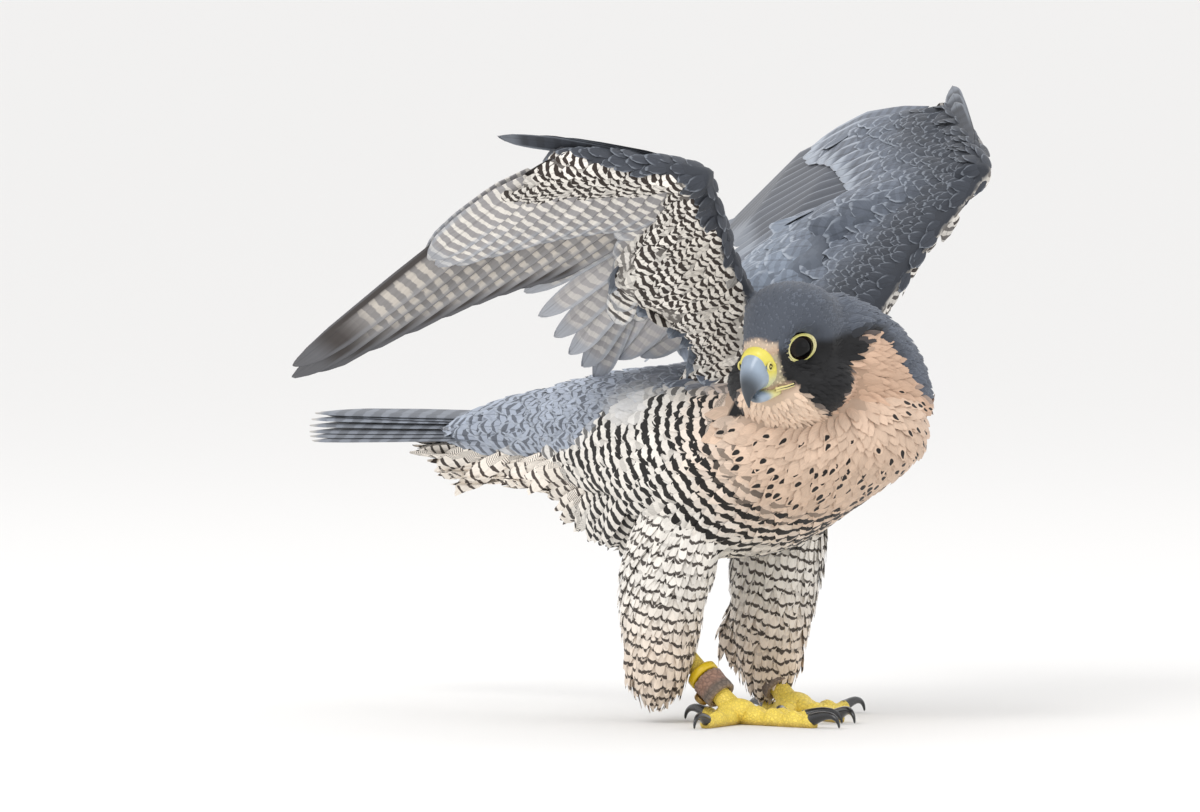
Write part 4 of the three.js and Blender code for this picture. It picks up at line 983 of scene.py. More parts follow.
# Spacing, length and width of the feathers on each part, and how far their tips lift. Steepest is how far the
# lie may point into or out of the skin, as a sine, before nothing grows there.
coatSizes = {
    "spacing": {"head": 2.0, "throat": 2.3, "neck": 2.7, "trunk": 4.2, "Wing": 4.1, "Thigh": 3.1},
    "length": {"head": 6.6, "throat": 7.5, "neck": 11, "trunk": 15, "Wing": 11.5, "Thigh": 15},
    "width": {"head": 1.4, "throat": 1.4, "neck": 1.8, "trunk": 4.4, "Wing": 3.9, "Thigh": 2.2},
    "lift": {"head": 0.4, "throat": 0.9, "neck": 1.6, "trunk": 2.0, "Wing": 1.3, "Thigh": 2.4},
    "steepest": {
        "trunk": 0.76, "throat": 0.98, "neck": 0.95, "leftArm": 0.97, "leftBed": 0.95, "leftHand": 0.95,
        "rightArm": 0.95, "rightHand": 0.95, "breast": 0.97, "other": 0.86,
    },
    "bury": 0.5, "turn": 0.13, "oversample": 7, "closest": 0.86, "cell": 7.0, "tuft": 0.003, "grid": 5,
    "outline": [0.42, 0.86, 1.0, 0.97, 0.84, 0.5], "tipSag": 0.16, "crown": -0.16, "bend": -0.05,
    "ragged": 0.07, "raggedFrom": 0.72,
}


def zoneOf(name):
    if name.endswith("Thigh"):
        return "Thigh"
    return "Wing" if name.startswith(("right", "left")) else name


def gradeOf(points, parts):
    # Feathers grow from the leading edge of a wing to its rear coverts, and from the breast to the rump.
    names = np.array(partNames)[parts]
    grade = np.ones(len(points))
    wing = isWing(names, "right") | isWing(names, "left")
    grade[wing] = mix(0.9, 2.2, wingGrade(points, names))[wing]
    far = np.linalg.norm(points - throat, axis=1)
    body = names == "trunk"
    grade[body] = (mix(0.68, 1.0, smooth(38, 85, far)) * mix(1, 1.25, smooth(90, 150, points[:, 1])))[body]
    return grade


def looseOf(points, normals, names, lie):
    # Long free feathers: under the tail, at the vent, at the hem of each thigh and under the left shoulder.
    y, z = points[:, 1], points[:, 2]
    grow, hang = np.ones(len(points)), np.zeros(len(points))
    body = names == "trunk"
    thigh = np.isin(names, ["rightThigh", "leftThigh"])
    plan = wingPlans["left"]
    span = (points - plan["shoulder"]) @ unit(plan["wrist"] - plan["shoulder"])
    underArm = (names == "leftArm") & (normals @ plan["back"] < -0.3)
    groups = (
        (body & (y > 92) & (y < 176) & (z < 122) & (normals[:, 2] < -0.1), 2.3, vec(0, 0.9, -0.42)),
        (body & (y > 44) & (y <= 92) & (z < 108) & (normals[:, 2] < -0.35), 2.2, vec(0, 0.62, -0.78)),
        (thigh & (z < 42), 1.15, vec(0, 0.16, -1)),
        (underArm & (span > 8) & (span < 72), 1.9, vec(0.45, -0.15, -0.88)),
    )
    for chosen, longer, way in groups:
        grow[chosen], hang[chosen] = longer, 1
        lie[chosen] = unit(lie[chosen] * 0.35 + unit(way))
    return grow, hang


def perPart(size, parts):
    return np.array([coatSizes[size][zoneOf(name)] for name in partNames])[parts]


def scatterRoots(generator):
    # Places spread at random over the skin, then thinned so that none is too near another.
    a, b, c = (skinPoints[skinFaces[:, i]] for i in range(3))
    area = np.linalg.norm(np.cross(b - a, c - a), axis=1) / 2
    firsts = skinFaces[:, 0]
    spacing = perPart("spacing", skinParts[firsts]) * gradeOf(skinPoints[firsts], skinParts[firsts])
    weight = area / spacing ** 2
    count = int(weight.sum() * coatSizes["oversample"])
    chosen = generator.choice(len(skinFaces), count, p=weight / weight.sum())
    u, v = generator.random(count), generator.random(count)
    flip = u + v > 1
    u[flip], v[flip] = 1 - u[flip], 1 - v[flip]
    points = a[chosen] + (b - a)[chosen] * u[:, None] + (c - a)[chosen] * v[:, None]
    corners = skinFaces[chosen]
    normals = unit(skinNormals[corners[:, 0]] * (1 - u - v)[:, None] + skinNormals[corners[:, 1]] * u[:, None]
                   + skinNormals[corners[:, 2]] * v[:, None])
    parts = skinParts[corners[:, 0]]
    space = perPart("spacing", parts) * gradeOf(points, parts) * coatSizes["closest"]
    grid, kept = {}, []
    for i in range(count):
        x, y, z = (points[i] // coatSizes["cell"]).astype(int)
        near = [j for key in itertools.product((x - 1, x, x + 1), (y - 1, y, y + 1), (z - 1, z, z + 1))
                for j in grid.get(key, ())]
        offsets = points[near] - points[i]
        if (np.einsum("ij,ij->i", offsets, offsets) < space[i] ** 2).any():
            continue
        grid.setdefault((x, y, z), []).append(i)
        kept.append(i)
    return points[kept], normals[kept], parts[kept]


def vaneGrid():
    # A vane's outline: a narrow root, full sides and a rounded, slightly ragged tip.
    outline = coatSizes["outline"]
    s, t = np.meshgrid(np.linspace(-1, 1, coatSizes["grid"]), np.linspace(0, 1, coatSizes["grid"]))
    wide = np.interp(t, np.linspace(0, 1, len(outline)), outline)
    return s.ravel(), (t - coatSizes["tipSag"] * s ** 2 * t ** 2).ravel(), wide.ravel()


def gridFaces(across, reach):
    firsts = (np.arange(reach - 1)[:, None] * across + np.arange(across - 1)).ravel()
    return np.stack([firsts, firsts + 1, firsts + across + 1, firsts + across], axis=1)


def growsHere(roots, tips, normals, names, steep):
    # Nothing grows where the lie runs into the skin, over the eyes, or where the flight feathers cover it.
    limits = coatSizes["steepest"]
    keep = np.abs(steep) < np.array([limits.get(name, limits["other"]) for name in names])
    keep |= (names == "trunk") & (roots[:, 1] < 60) & (np.abs(steep) < limits["breast"])
    keep &= (names != "trunk") | (roots[:, 1] < 180)
    wingPlace = wingGrade(roots, names)
    for sideName, plan in wingPlans.items():
        facing = normals @ plan["back"] * plan["side"]
        keep &= (names != f"{sideName}Bed") | ((np.abs(facing) > 0.55) & ((facing > 0) | (wingPlace < 0.55)))
    plan = wingPlans["right"]
    onBack = normals @ plan["back"] > 0
    outward = (roots - plan["elbow"]) @ unit(plan["wrist"] - plan["elbow"])
    keep &= (names != "rightBed") | ~onBack | (wingPlace < np.where(outward > 22, 0.44, 0.3))
    pastFinger = (roots - plan["wrist"]) @ unit(plan["finger"] - plan["wrist"]) > 60
    keep &= ~(isWing(names, "right") & pastFinger & onBack)
    for side in (1, -1):
        look, _, _, centre = eyeFrame(side)
        for place, limit in ((roots, 7.1), (tips, 6.2)):
            offset = place - centre
            deep = offset @ look
            keep &= (np.linalg.norm(offset - np.outer(deep, look), axis=1) > limit) | (deep < 0)
    return keep


def standOff(tips, lift):
    # How much further than its lift each tip stands off the skin.
    drop = np.zeros(len(tips))
    for i, tip in enumerate(tips):
        place, normal, _, _ = skinTree.find_nearest(Vector(tip))
        drop[i] = np.dot(tip - np.array(place), np.array(normal)) - max(lift[i], 0.4)
    return drop


def makeCoat(name, slot, seed, *only):
    chosen = np.isin(rootParts, [partNames.index(part) for part in only])
    roots, normals, parts, lie = (values[chosen] for values in (allRoots, rootNormals, rootParts, rootLie))
    names = np.array(partNames)[parts]
    generator = np.random.default_rng(seed)
    count = len(roots)
    chance = generator.random(count)
    grow, hang = looseOf(roots, normals, names, lie)
    steep = np.einsum("ij,ij->i", lie, normals)
    along = unit(lie - normals * (steep * (1 - 0.3 * hang * (steep > 0)))[:, None])
    turn = generator.normal(0, coatSizes["turn"], count)
    along = unit(along + np.cross(normals, along) * turn[:, None])
    side = np.cross(normals, along)
    up = np.cross(along, side)

    grade = gradeOf(roots, parts)
    length = perPart("length", parts) * grade * grow * generator.uniform(0.85, 1.15, count)
    width = perPart("width", parts) * grade * generator.uniform(0.85, 1.12, count)
    lift = perPart("lift", parts) * generator.uniform(0.7, 1.3, count)
    isHead, isTrunk = names == "head", names == "trunk"
    # Feathers shrink towards the bill, are longer on the belly, and lie flat near the tail.
    faceward = smooth(-14, 22, (roots - headSizes["centre"]) @ headSizes["forward"]) * isHead
    length *= (1 - 0.62 * faceward) * np.where(isTrunk & (normals[:, 2] < 0.1), 1.12, 1)
    width *= 1 - 0.45 * faceward
    lift *= mix(1, 0.35, smooth(140, 175, roots[:, 1]) * isTrunk)
    # Under the front of the wings the coverts are long, narrow strands.
    wingPlace = wingGrade(roots, names)
    for sideName, plan in wingPlans.items():
        _, behind = edgeDistance(roots, plan)
        strand = smooth(-0.1, -0.5, normals @ plan["back"]) * smooth(0.5, 0.25, wingPlace)
        strand = strand * isWing(names, sideName) * smooth(4, 9, behind)
        length *= 1 + 0.5 * strand
        width *= 1 - 0.35 * strand

    s, t, wide = vaneGrid()
    cells = len(s)
    ragged = generator.uniform(-coatSizes["ragged"], coatSizes["ragged"], (count, cells))
    far = (t + ragged * (t > coatSizes["raggedFrom"])) * length[:, None]
    out = s * wide * width[:, None]
    height = lift[:, None] * (1 - (1 - t) ** 2) - coatSizes["bury"]
    height += coatSizes["crown"] * out ** 2 / width[:, None] + coatSizes["bend"] * t ** 2 * length[:, None]
    points = (roots[:, None] + along[:, None] * far[..., None] + side[:, None] * out[..., None]
              + up[:, None] * height[..., None])
    tips = points[:, cells - 1 - coatSizes["grid"] // 2]
    drop = standOff(tips, lift)
    keep = growsHere(roots, tips, normals, names, steep) & ((drop < 7) | (hang > 0))
    # Tips are laid back onto the skin where it curves away, and one that would stand far off the neck is
    # short.
    short = np.where(np.isin(names, ["neck", "throat", "head"]) & (drop > 2.4), 0.4, 1)
    isBed = np.isin(names, ["leftBed", "rightBed"])
    drop = np.clip(drop, -8, np.where(isBed, 1.6, 4.5)) * (1 - hang)
    points -= up[:, None] * (drop[:, None] * t ** 2)[..., None]
    points = roots[:, None] + (points - roots[:, None]) * short[:, None, None]
    faces = gridFaces(coatSizes["grid"], coatSizes["grid"]) + (np.arange(count) * cells)[:, None, None]
    faces = faces[keep].reshape(-1, 4)

    tone, dark, bands, marks = plumage(roots + along * (length * 0.55)[:, None], normals, parts, chance)
    # Bars keep the body's own phase but bow back at the middle of each feather. On the wings each feather has
    # its own bars, and on the back they are chevrons.
    perPoint = (np.repeat(values, cells, 0) for values in (normals, parts, chance))
    bodyBands = plumage(points.reshape(-1, 3), *perPoint)[2]
    phase = bodyBands[:, 1].reshape(count, cells) + 0.16 * s ** 2 + generator.uniform(-0.2, 0.2, (count, 1))
    onWing = np.array([zoneOf(name) == "Wing" for name in names])
    real = t * length[:, None]
    ownPhase = real / (4.6 * grade[:, None] ** 0.5) + 0.25 * s ** 2 + 0.2 * chance[:, None]
    phase = np.where(onWing[:, None], ownPhase, phase)
    chevron = (marks[:, 1] > 0.3) & ~onWing
    phase = np.where(chevron[:, None], real / 6.5 + 0.55 * np.abs(s), phase)
    strength = bands[:, 0] * np.where(chance < 0.1, 0.25, 1)
    duty = bands[:, 2:] * (1 - 0.3 * s ** 2)
    vary = 1 + generator.uniform(-1, 1, (count, 1)) * np.where(isHead, 0.2, 0.065)[:, None]
    attributes = {
        "tone": np.repeat(np.clip(tone * vary, 0, 1), cells, 0), "ink": np.repeat(dark, cells, 0),
        "place": np.stack([np.tile(s, count), np.tile(t, count), np.repeat(chance, cells)], axis=1),
        "bands": np.stack([np.repeat(strength, cells), phase.ravel(), duty.ravel()], axis=1),
        "marks": np.repeat(marks, cells, 0),
    }
    local = np.stack([s * 0.5, t - 0.5], axis=1) * coatSizes["tuft"]
    uv = (skinMap(roots, parts)[:, None] + local).reshape(-1, 2)[faces.ravel()]
    piece = meshFromArrays(name, points.reshape(-1, 3), faces, attributes, uv, contourKeratin)
    finish(piece, slot)
    print(f"coat: {name} {count} feathers, {2 * len(faces)} triangles")


allRoots, rootNormals, rootParts = scatterRoots(rng)
rootLie = flowAt(allRoots, rootParts)
makeCoat("trunkFeathers", "breast_plumage", 11, "trunk")
makeCoat("headFeathers", "hood_plumage", 12, "head")
makeCoat("neckFeathers", "back_plumage", 13, "neck", "throat")
for sideName in wingPlans:
    armParts = [f"{sideName}{part}" for part in ("Arm", "Hand", "Bed")]
    makeCoat(f"{sideName}ArmFeathers", "wing_feathers", 14, *armParts)
    makeCoat(f"{sideName}ThighFeathers", "thigh_plumage", 15, f"{sideName}Thigh")


# Coverts and vanes

# A row of greater coverts on each face: the share of the flight feather where they start and end, and their
# half width.
covertRows = [
    {"over": False, "from": 0.08, "to": 0.47, "half": 8.2},
    {"over": True, "from": 0.08, "to": 0.49, "half": 8.4},
]
covertSizes = {"step": 0.5, "least": 0.86, "more": 0.14, "usual": 180, "most": 1.2}


def layCoverts(plan, sheet, flights):
    laid = []
    for row in covertRows:
        placed = list(flights)
        for flight in flights if row["over"] else reversed(flights):
            start, end = flight["root"], flight["tip"]
            long = min(np.linalg.norm(end - start) / covertSizes["usual"], covertSizes["most"])
            half = -plan["side"] * row["half"] * (covertSizes["least"] + covertSizes["more"] * long)
            root, tip = mix(start, end, row["from"]), mix(start, end, row["to"])
            vane = layVane(sheet, root, tip, flight["slope"], half, half, shortShape)
            stackVane(vane, placed, row["over"], covertSizes["step"])
            vane.update(kind="greater", order=0, share=flights.index(flight) / (len(flights) - 1))
            placed.append(vane)
            laid.append(vane)
    return laid


vaneSizes = {"crowd": 1.25, "tipBack": 0.1, "ragged": 0.5, "raggedFrom": 0.93, "bow": 0.35, "columns": 12}


def vanePoints(sheet, vane, across, reach, generator):
    # A closed vane: an upper and a lower face that meet at the rim, crowned over its shaft.
    t = 1 - (1 - np.linspace(0, 1, reach)) ** vaneSizes["crowd"]
    s = np.sin(np.linspace(-math.pi / 2, math.pi / 2, across))
    s, t = np.meshgrid(s, t)
    a, b = vane["edges"](t)
    shaft = mix(vane["start"][0], vane["end"][0], t)
    wide = np.where(s > 0, shaft + (a - shaft) * s, shaft + (shaft - b) * s)
    tipBack = vaneSizes["tipBack"] * abs(vane["trail"]) * s ** 2 * smooth(0.75, 1, t)
    far = vane["start"][1] + vane["long"] * t - tipBack
    ragged = generator.uniform(-vaneSizes["ragged"], vaneSizes["ragged"], far.shape)
    far = far + ragged * (t > vaneSizes["raggedFrom"])
    high = vane["height"] + vane["slope"] * far + vaneSizes["bow"] * (1 - s ** 2)
    thick = wingFeathers["thick"] * (1 - s ** 2) ** 0.5 * (1 - 0.5 * t)
    return sheet.toSpace(wide, far, high + thick / 2), sheet.toSpace(wide, far, high - thick / 2), s, t


def shellFaces(across, reach):
    upper = gridFaces(across, reach)
    cells = across * reach
    last = cells - across
    edge = [(j, j + 1) for j in range(across - 1)]
    edge += [(i + across - 1, i + 2 * across - 1) for i in range(0, last, across)]
    edge += [(last + j + 1, last + j) for j in range(across - 1)]
    edge += [(i + across, i) for i in range(0, last, across)]
    rim = [(b, a, a + cells, b + cells) for a, b in edge]
    return np.concatenate([upper, upper[:, ::-1] + cells, np.array(rim)])


def vaneLook(vane, s, t, back, chance):
    # Colours and marks of the back of a vane or its underside, with the narrow outer vane at s near 1.
    count = len(s)
    kind, order = vane["kind"], vane["order"]
    real = t * np.linalg.norm(vane["tip"] - vane["root"])
    outer = smooth(0.04, 0.16, s)
    dark = ink["wingDark"]
    if kind == "primary":
        tone = ink["primaryUpper"]
        blobs, fringe = 0.35, 0.5
        if not back:
            tone = pick(outer, ink["primaryTip"], ink["primaryUnder"])
            tone = pick(smooth(0.72, 0.84, t), ink["primaryTip"], tone)
            dark = ink["buff"]
            blobs, fringe = mix(0.35, 0.75, smooth(0.3, 0.5, t)), 0.25
        show = (1 - outer) * smooth(-0.98, -0.85, s) * smooth(0.78, 0.7, t) * smooth(0.04, 0.1, t)
        bands = blobs * show, real / 10.5 + 0.1 * s + 0.3 * order, 0.42
        marks = 0, fringe, 0.25
    elif kind in ("secondary", "tertial"):
        tone = ink["wingUpper"] if back else ink["greyUnder"]
        tone = tone * (1.25 if kind == "tertial" else 1)
        if not back:
            dark = ink["paleUnder"]
        show = (1 - 0.6 * outer) * smooth(0.93, 0.86, t)
        bow = real / 9.5 + 0.12 * s + 0.35 * s ** 2 + 0.37 * order
        bands = (0.4 if back else 0.65) * show, bow, 0.42
        marks = 0, 0.8, 0.3
    elif kind == "tail":
        tone = pick(0.7 * smooth(0.97, 0.99, t), ink["offWhite"], ink["tail"] if back else ink["greyUnder"])
        bands = 0.6 * smooth(0.97, 0.9, t), real / 12.0 + 0.1 * s + 0.37 * chance, 0.56
        marks = 0, 0, 0.3
    elif kind == "alula":
        tone, dark = ink["wingDark"], ink["black"]
        bands = 0.3, real / 8, 0.4
        marks = 0, 0.4, 0.4
    elif back:
        tone = ink["wingUpper"]
        bands = 0.45 * smooth(0.95, 0.8, t), real / 7.5 + 0.1 * s, 0.42
        marks = 0, 1.0, 0.6
    else:
        tone, dark = ink["greyUnder"] * 0.82, ink["white"]
        if vane["share"] > 0.72:
            tone, dark = ink["white"], ink["barBrown"]
        bands = 0.95, real / 7.4 + 0.3 * s ** 2, 0.34
        marks = 0, 0.6, 0.35
    ones = np.ones((count, 1))
    return {
        "tone": np.clip(tone * ones * (0.92 + 0.16 * chance), 0, 1), "ink": dark * ones,
        "place": columns(count, s, t, chance), "bands": columns(count, *bands),
        "marks": columns(count, *marks),
    }


def makeVanes(name, sheet, vanes, across, reach, seed, slot, *nodes):
    generator = np.random.default_rng(seed)
    allPoints, allFaces, uvs = [], [], []
    gathered = {key: [] for key in ("tone", "ink", "place", "bands", "marks")}
    faces = shellFaces(across, reach)
    perRow = vaneSizes["columns"]
    for index, vane in enumerate(vanes):
        top, bottom, s, t = vanePoints(sheet, vane, across, reach, generator)
        s, t = s.ravel(), t.ravel()
        chance = generator.random()
        allPoints += [top.reshape(-1, 3), bottom.reshape(-1, 3)]
        for back in (True, False):
            for key, values in vaneLook(vane, s, t, back, chance).items():
                gathered[key].append(values)
        allFaces.append(faces + index * 2 * across * reach)
        # The two faces of a vane lie side by side in its cell of the map.
        column, row = index % perRow, index // perRow
        v = (row + 0.06 + 0.88 * t) / math.ceil(len(vanes) / perRow)
        for shift in (0, 0.42):
            uvs.append(np.stack([(column + 0.1 + shift + 0.38 * (s + 1) / 2) / perRow, v], axis=1))
    points = np.concatenate(allPoints)
    faces = np.concatenate(allFaces)
    a, b, c = (points[faces[: (across - 1) * (reach - 1), i]] for i in (0, 1, 3))
    if (np.cross(b - a, c - a) @ sheet.up).mean() < 0:
        faces = faces[:, ::-1]
    attributes = {key: np.concatenate(values) for key, values in gathered.items()}
    piece = meshFromArrays(name, points, faces, attributes, np.concatenate(uvs)[faces.ravel()], flightKeratin)
    finish(piece, slot, *nodes)
    print(f"vanes: {name} {len(vanes)} feathers, {2 * len(faces)} triangles")


for sideName, plan in wingPlans.items():
    sheet, flights = wingLayouts[sideName]
    coverts = layCoverts(plan, sheet, flights)
    hand = [vane for vane in flights if vane["kind"] == "primary"]
    arm = [vane for vane in flights if vane["kind"] != "primary"]
    makeVanes(f"{sideName}Primaries", sheet, hand, 11, 34, 31, "primary_feathers")
    makeVanes(f"{sideName}Secondaries", sheet, arm, 11, 24, 32, "wing_feathers")
    makeVanes(f"{sideName}Coverts", sheet, coverts, 7, 12, 33, "wing_feathers")
print("wings: laid")


# Tail and alulas

tailSizes = {
    "feathers": 12, "root": vec(0, 128, 131), "rootSpread": 9, "tip": vec(0, 279, 130), "tipSpread": 24,
    "cornerShort": 15, "back": unit(vec(-0.3, 0, 1)), "camber": 0.0001, "lowest": -3, "lead": 4.5, "trail": 9,
}


def layTail():
    # Laid in pairs from the outermost in, each over the last, so that the middle pair is on top.
    look = tailSizes
    sheet = Sheet(look["root"], look["back"], look["tip"] - look["root"], look["camber"])
    pairs = look["feathers"] / 2
    fan = []
    for i in range(look["feathers"]):
        side = -1 if i % 2 else 1
        t = side * (pairs - 0.5 - i // 2) / (pairs - 0.5)
        root = look["root"] + vec(look["rootSpread"] * t, 0, 0)
        tip = look["tip"] + vec(look["tipSpread"] * t, -look["cornerShort"] * t * t, 0)
        vane = layVane(sheet, root, tip, 0, side * -look["lead"], side * -look["trail"], longShape)
        vane.update(kind="tail", order=i, height=0.0 if fan else look["lowest"])
        stackVane(vane, fan)
        fan.append(vane)
    return sheet, fan


tailSheet, tailFan = layTail()
makeVanes("tailFeathers", tailSheet, tailFan, 11, 26, 41, "tail_feathers")

alulaSizes = {"feathers": 3, "root": 0.22, "high": 6, "shorter": 0.16, "wide": (4.5, 6.5), "camber": 0.0008}
for sideName, plan in wingPlans.items():
    thumbRoot = mix(plan["wrist"], plan["finger"], alulaSizes["root"]) + plan["back"] * alulaSizes["high"]
    reach = plan["alulaTip"] - thumbRoot
    thumbUp = unit(plan["back"] - unit(reach) * np.dot(plan["back"], unit(reach)))
    sheet = Sheet(thumbRoot, thumbUp, reach, alulaSizes["camber"])
    thumbs = []
    for i in range(alulaSizes["feathers"]):
        tip = mix(thumbRoot, plan["alulaTip"], 1 - alulaSizes["shorter"] * i)
        lead, trail = (-plan["side"] * wide for wide in alulaSizes["wide"])
        vane = layVane(sheet, thumbRoot, tip, 0, lead, trail, longShape)
        vane.update(kind="alula", order=i, height=1.0 * i)
        thumbs.append(vane)
    makeVanes(f"{sideName}Alula", sheet, thumbs, 9, 16, 51, "primary_feathers", f"alula_{sideName}")
print("tail and alulas: laid")


# Smooth bare parts: eyes, lids, cere, bill, legs and claws

bareLook = {
    "edges": (0.0, 0.22), "cloud": 180.0, "patternShare": 0.6, "relief": 0.0006, "coatRoughness": 0.08,
}


def bareMaterial(name, scale, vary, depth, settings, cells=False):
    # A ground colour from the mesh with soft clouds, and a relief of cells or of fine noise.
    surface, look = Surface(name), bareLook
    add = surface.add
    tone, coords = add("Attribute", attribute_name="tone"), add("TexCoord").outputs["Object"]
    if cells:
        borders = add("TexVoronoi", {"Vector": coords, "Scale": scale}, feature="DISTANCE_TO_EDGE")
        pattern = add("MapRange", {0: borders, 1: look["edges"][0], 2: look["edges"][1]},
                      interpolation_type="SMOOTHSTEP")
    else:
        pattern = add("TexNoise", {"Vector": coords, "Scale": scale, "Detail": 4.0})
    cloud = add("TexNoise", {"Vector": coords, "Scale": look["cloud"], "Detail": 3.0})
    mottle = add("Math", {0: pattern, 1: look["patternShare"]}, operation="MULTIPLY")
    mottle = add("Math", {0: cloud, 1: mottle}, operation="ADD")
    shade = add("Math", {0: mottle, 1: vary * 2, 2: 1 - vary * 1.6}, operation="MULTIPLY_ADD")
    return surface.done(tone, shade, pattern, depth, look["relief"],
                        {"Coat Roughness": look["coatRoughness"], **settings})


# Eye: a wet cornea over a very dark iris, so only highlights show.
eyeWet = bareMaterial("wetCornea", 60.0, 0.0, 0.0, {"Roughness": 0.03, "Specular IOR Level": 0.22})
# Cere and lids: waxy bare skin, finely wrinkled.
waxySkin = bareMaterial("waxyCereSkin", 1500.0, 0.1, 0.12, {"Roughness": 0.42, "Coat Weight": 0.2})
# Bill: polished horn with faint growth lines.
billHorn = bareMaterial("polishedBillHorn", 500.0, 0.12, 0.06, {"Roughness": 0.3, "Coat Weight": 0.3})
# Claws: black horn, glossy.
clawHorn = bareMaterial("blackClawHorn", 700.0, 0.15, 0.05, {"Roughness": 0.24, "Coat Weight": 0.4})
# Leg skin: dry yellow scales about 1.6 mm across.
footSkin = bareMaterial("scaledLegSkin", 620.0, 0.16, 0.5, {"Roughness": 0.52, "Coat Weight": 0.05}, True)
# Anklets: thick brown strap leather, rubbed pale at its rough cut edge.
strapLeather = bareMaterial("wornStrapLeather", 420.0, 0.3, 0.5,
                            {"Roughness": 0.78, "Sheen Weight": 0.1}, True)
# Leg ring: smooth moulded plastic.
ringPlastic = bareMaterial("mouldedRingPlastic", 300.0, 0.06, 0.02, {"Roughness": 0.35, "Coat Weight": 0.15})
# Eyelets: brass gone dull.
dullBrass = bareMaterial("dullBrass", 500.0, 0.2, 0.05, {"Roughness": 0.36, "Metallic": 0.9})


def bareMesh(name, shape, tones, material, slot, *nodes):
    points, faces = shape
    offset = points - points.mean(axis=0)
    angle = np.arctan2(offset[:, 1], offset[:, 0]) / (2 * math.pi) + 0.5
    reach = (points[:, 2] - points[:, 2].min()) / max(np.ptp(points[:, 2]), 1e-6)
    uv = np.stack([angle, reach], axis=1)[faces.ravel()]
    tones = tones * np.ones((len(points), 1))
    finish(meshFromArrays(name, points, faces, {"tone": tones}, uv, material), slot, *nodes)


def crossAxes(direction, hint=vec(0, 0, 1)):
    # Two directions square to this one and to each other.
    direction = unit(direction)
    hint = hint if abs(np.dot(direction, hint)) < 0.95 else vec(1, 0, 0)
    side = unit(np.cross(direction, hint))
    return side, np.cross(side, direction)


def makeTube(path, radii, sides, flat=1.0):
    path = np.array(path)
    rings = []
    side, _ = crossAxes(path[1] - path[0])
    for i, centre in enumerate(path):
        run = unit(path[min(i + 1, len(path) - 1)] - path[max(i - 1, 0)])
        side = unit(side - run * np.dot(side, run))
        rings.append(ringPoints(centre, side * radii[i], np.cross(run, side) * radii[i] * flat, sides))
    return loftArrays(rings)


def makeBand(base, first, second, axis, profile, around, edge=None):
    # A closed profile of radius and height carried round the axis.
    angles = np.arange(around) * 2 * math.pi / around
    points = [base + (first * math.cos(angle) + second * math.sin(angle)) * radius
              + axis * (high + (edge(angle, high, radius) if edge else 0))
              for angle in angles for radius, high in profile]
    sides = len(profile)
    faces = []
    for i in range(around):
        for j in range(sides):
            a, b = i * sides + j, i * sides + (j + 1) % sides
            c, d = (i + 1) % around * sides + j, (i + 1) % around * sides + (j + 1) % sides
            faces += [(a, b, c), (b, d, c)]
    points, faces = np.array(points), np.array(faces)
    a, b, c = (points[faces[:, i]] - base for i in range(3))
    if np.einsum("ij,ij->i", a, np.cross(b, c)).sum() < 0:
        faces = faces[:, ::-1]
    return points, faces


def makeTorus(centre, first, second, radius, thick, around, sides, deep=1.0):
    turns = np.arange(sides) * 2 * math.pi / sides
    profile = [(radius + thick * math.cos(turn), thick * deep * math.sin(turn)) for turn in turns]
    return makeBand(centre, first, second, np.cross(first, second), profile, around)


# Angles run back from the middle of the cornea. Lids: how far back each ring lies, its two stretches, how far
# outside the disc it runs, its thickness and its depth.
eyeLook = {
    "rings": 25, "sides": 40, "first": 0.35, "steps": 25.7, "inset": 0.05, "bulge": 0.035, "bulgeWide": 0.5,
    "pupil": (3.9, 4.3), "pupilTone": srgb("#050405"), "irisTone": srgb("#150c08"), "lidBack": 0.1,
    "lids": [(0, 1.08, 0.94, 0.3, 0.45, 0.9), (0.5, 1.2, 0.93, 0.6, 0.55, 0.8)], "lidTone": srgb("#dbd57e"),
    "cornerTone": srgb("#e9dfc0"), "corner": (3, 8), "cornerShare": 0.6,
}


def makeEye(name, side):
    look, high, acrossEye, centre = eyeFrame(side)
    size, radius = eyeLook, eyeSizes["radius"] - eyeLook["inset"]
    rings = []
    for i in range(size["rings"]):
        angle = math.pi * (i + size["first"]) / size["steps"]
        bulge = 1 + size["bulge"] * math.exp(-((angle / size["bulgeWide"]) ** 2))
        rings.append(ringPoints(centre + look * radius * bulge * math.cos(angle),
                                acrossEye * radius * math.sin(angle), high * radius * math.sin(angle),
                                size["sides"]))
    shape = loftArrays(rings)
    off = np.linalg.norm(np.cross(shape[0] - centre, look), axis=1)
    tones = pick(smooth(*size["pupil"], off), size["irisTone"], size["pupilTone"])
    bareMesh(f"eyeball_{name}", shape, tones, eyeWet, "eye", f"eye_{name}")
    front = centre + look * (math.sqrt(eyeSizes["radius"] ** 2 - eyeSizes["disc"] ** 2) - size["lidBack"])
    shape = joinArrays([
        makeTorus(front - look * back, acrossEye * wide, high * tall, eyeSizes["disc"] + out, thick, 56, 10,
                  deep) for back, wide, tall, out, thick, deep in size["lids"]])
    corner = smooth(*size["corner"], np.abs((shape[0] - front) @ acrossEye))
    tones = pick(size["cornerShare"] * corner, size["cornerTone"], size["lidTone"])
    bareMesh(f"lids_{name}", shape, tones, waxySkin, "cere_skin")


makeEye("left", 1)
makeEye("right", -1)

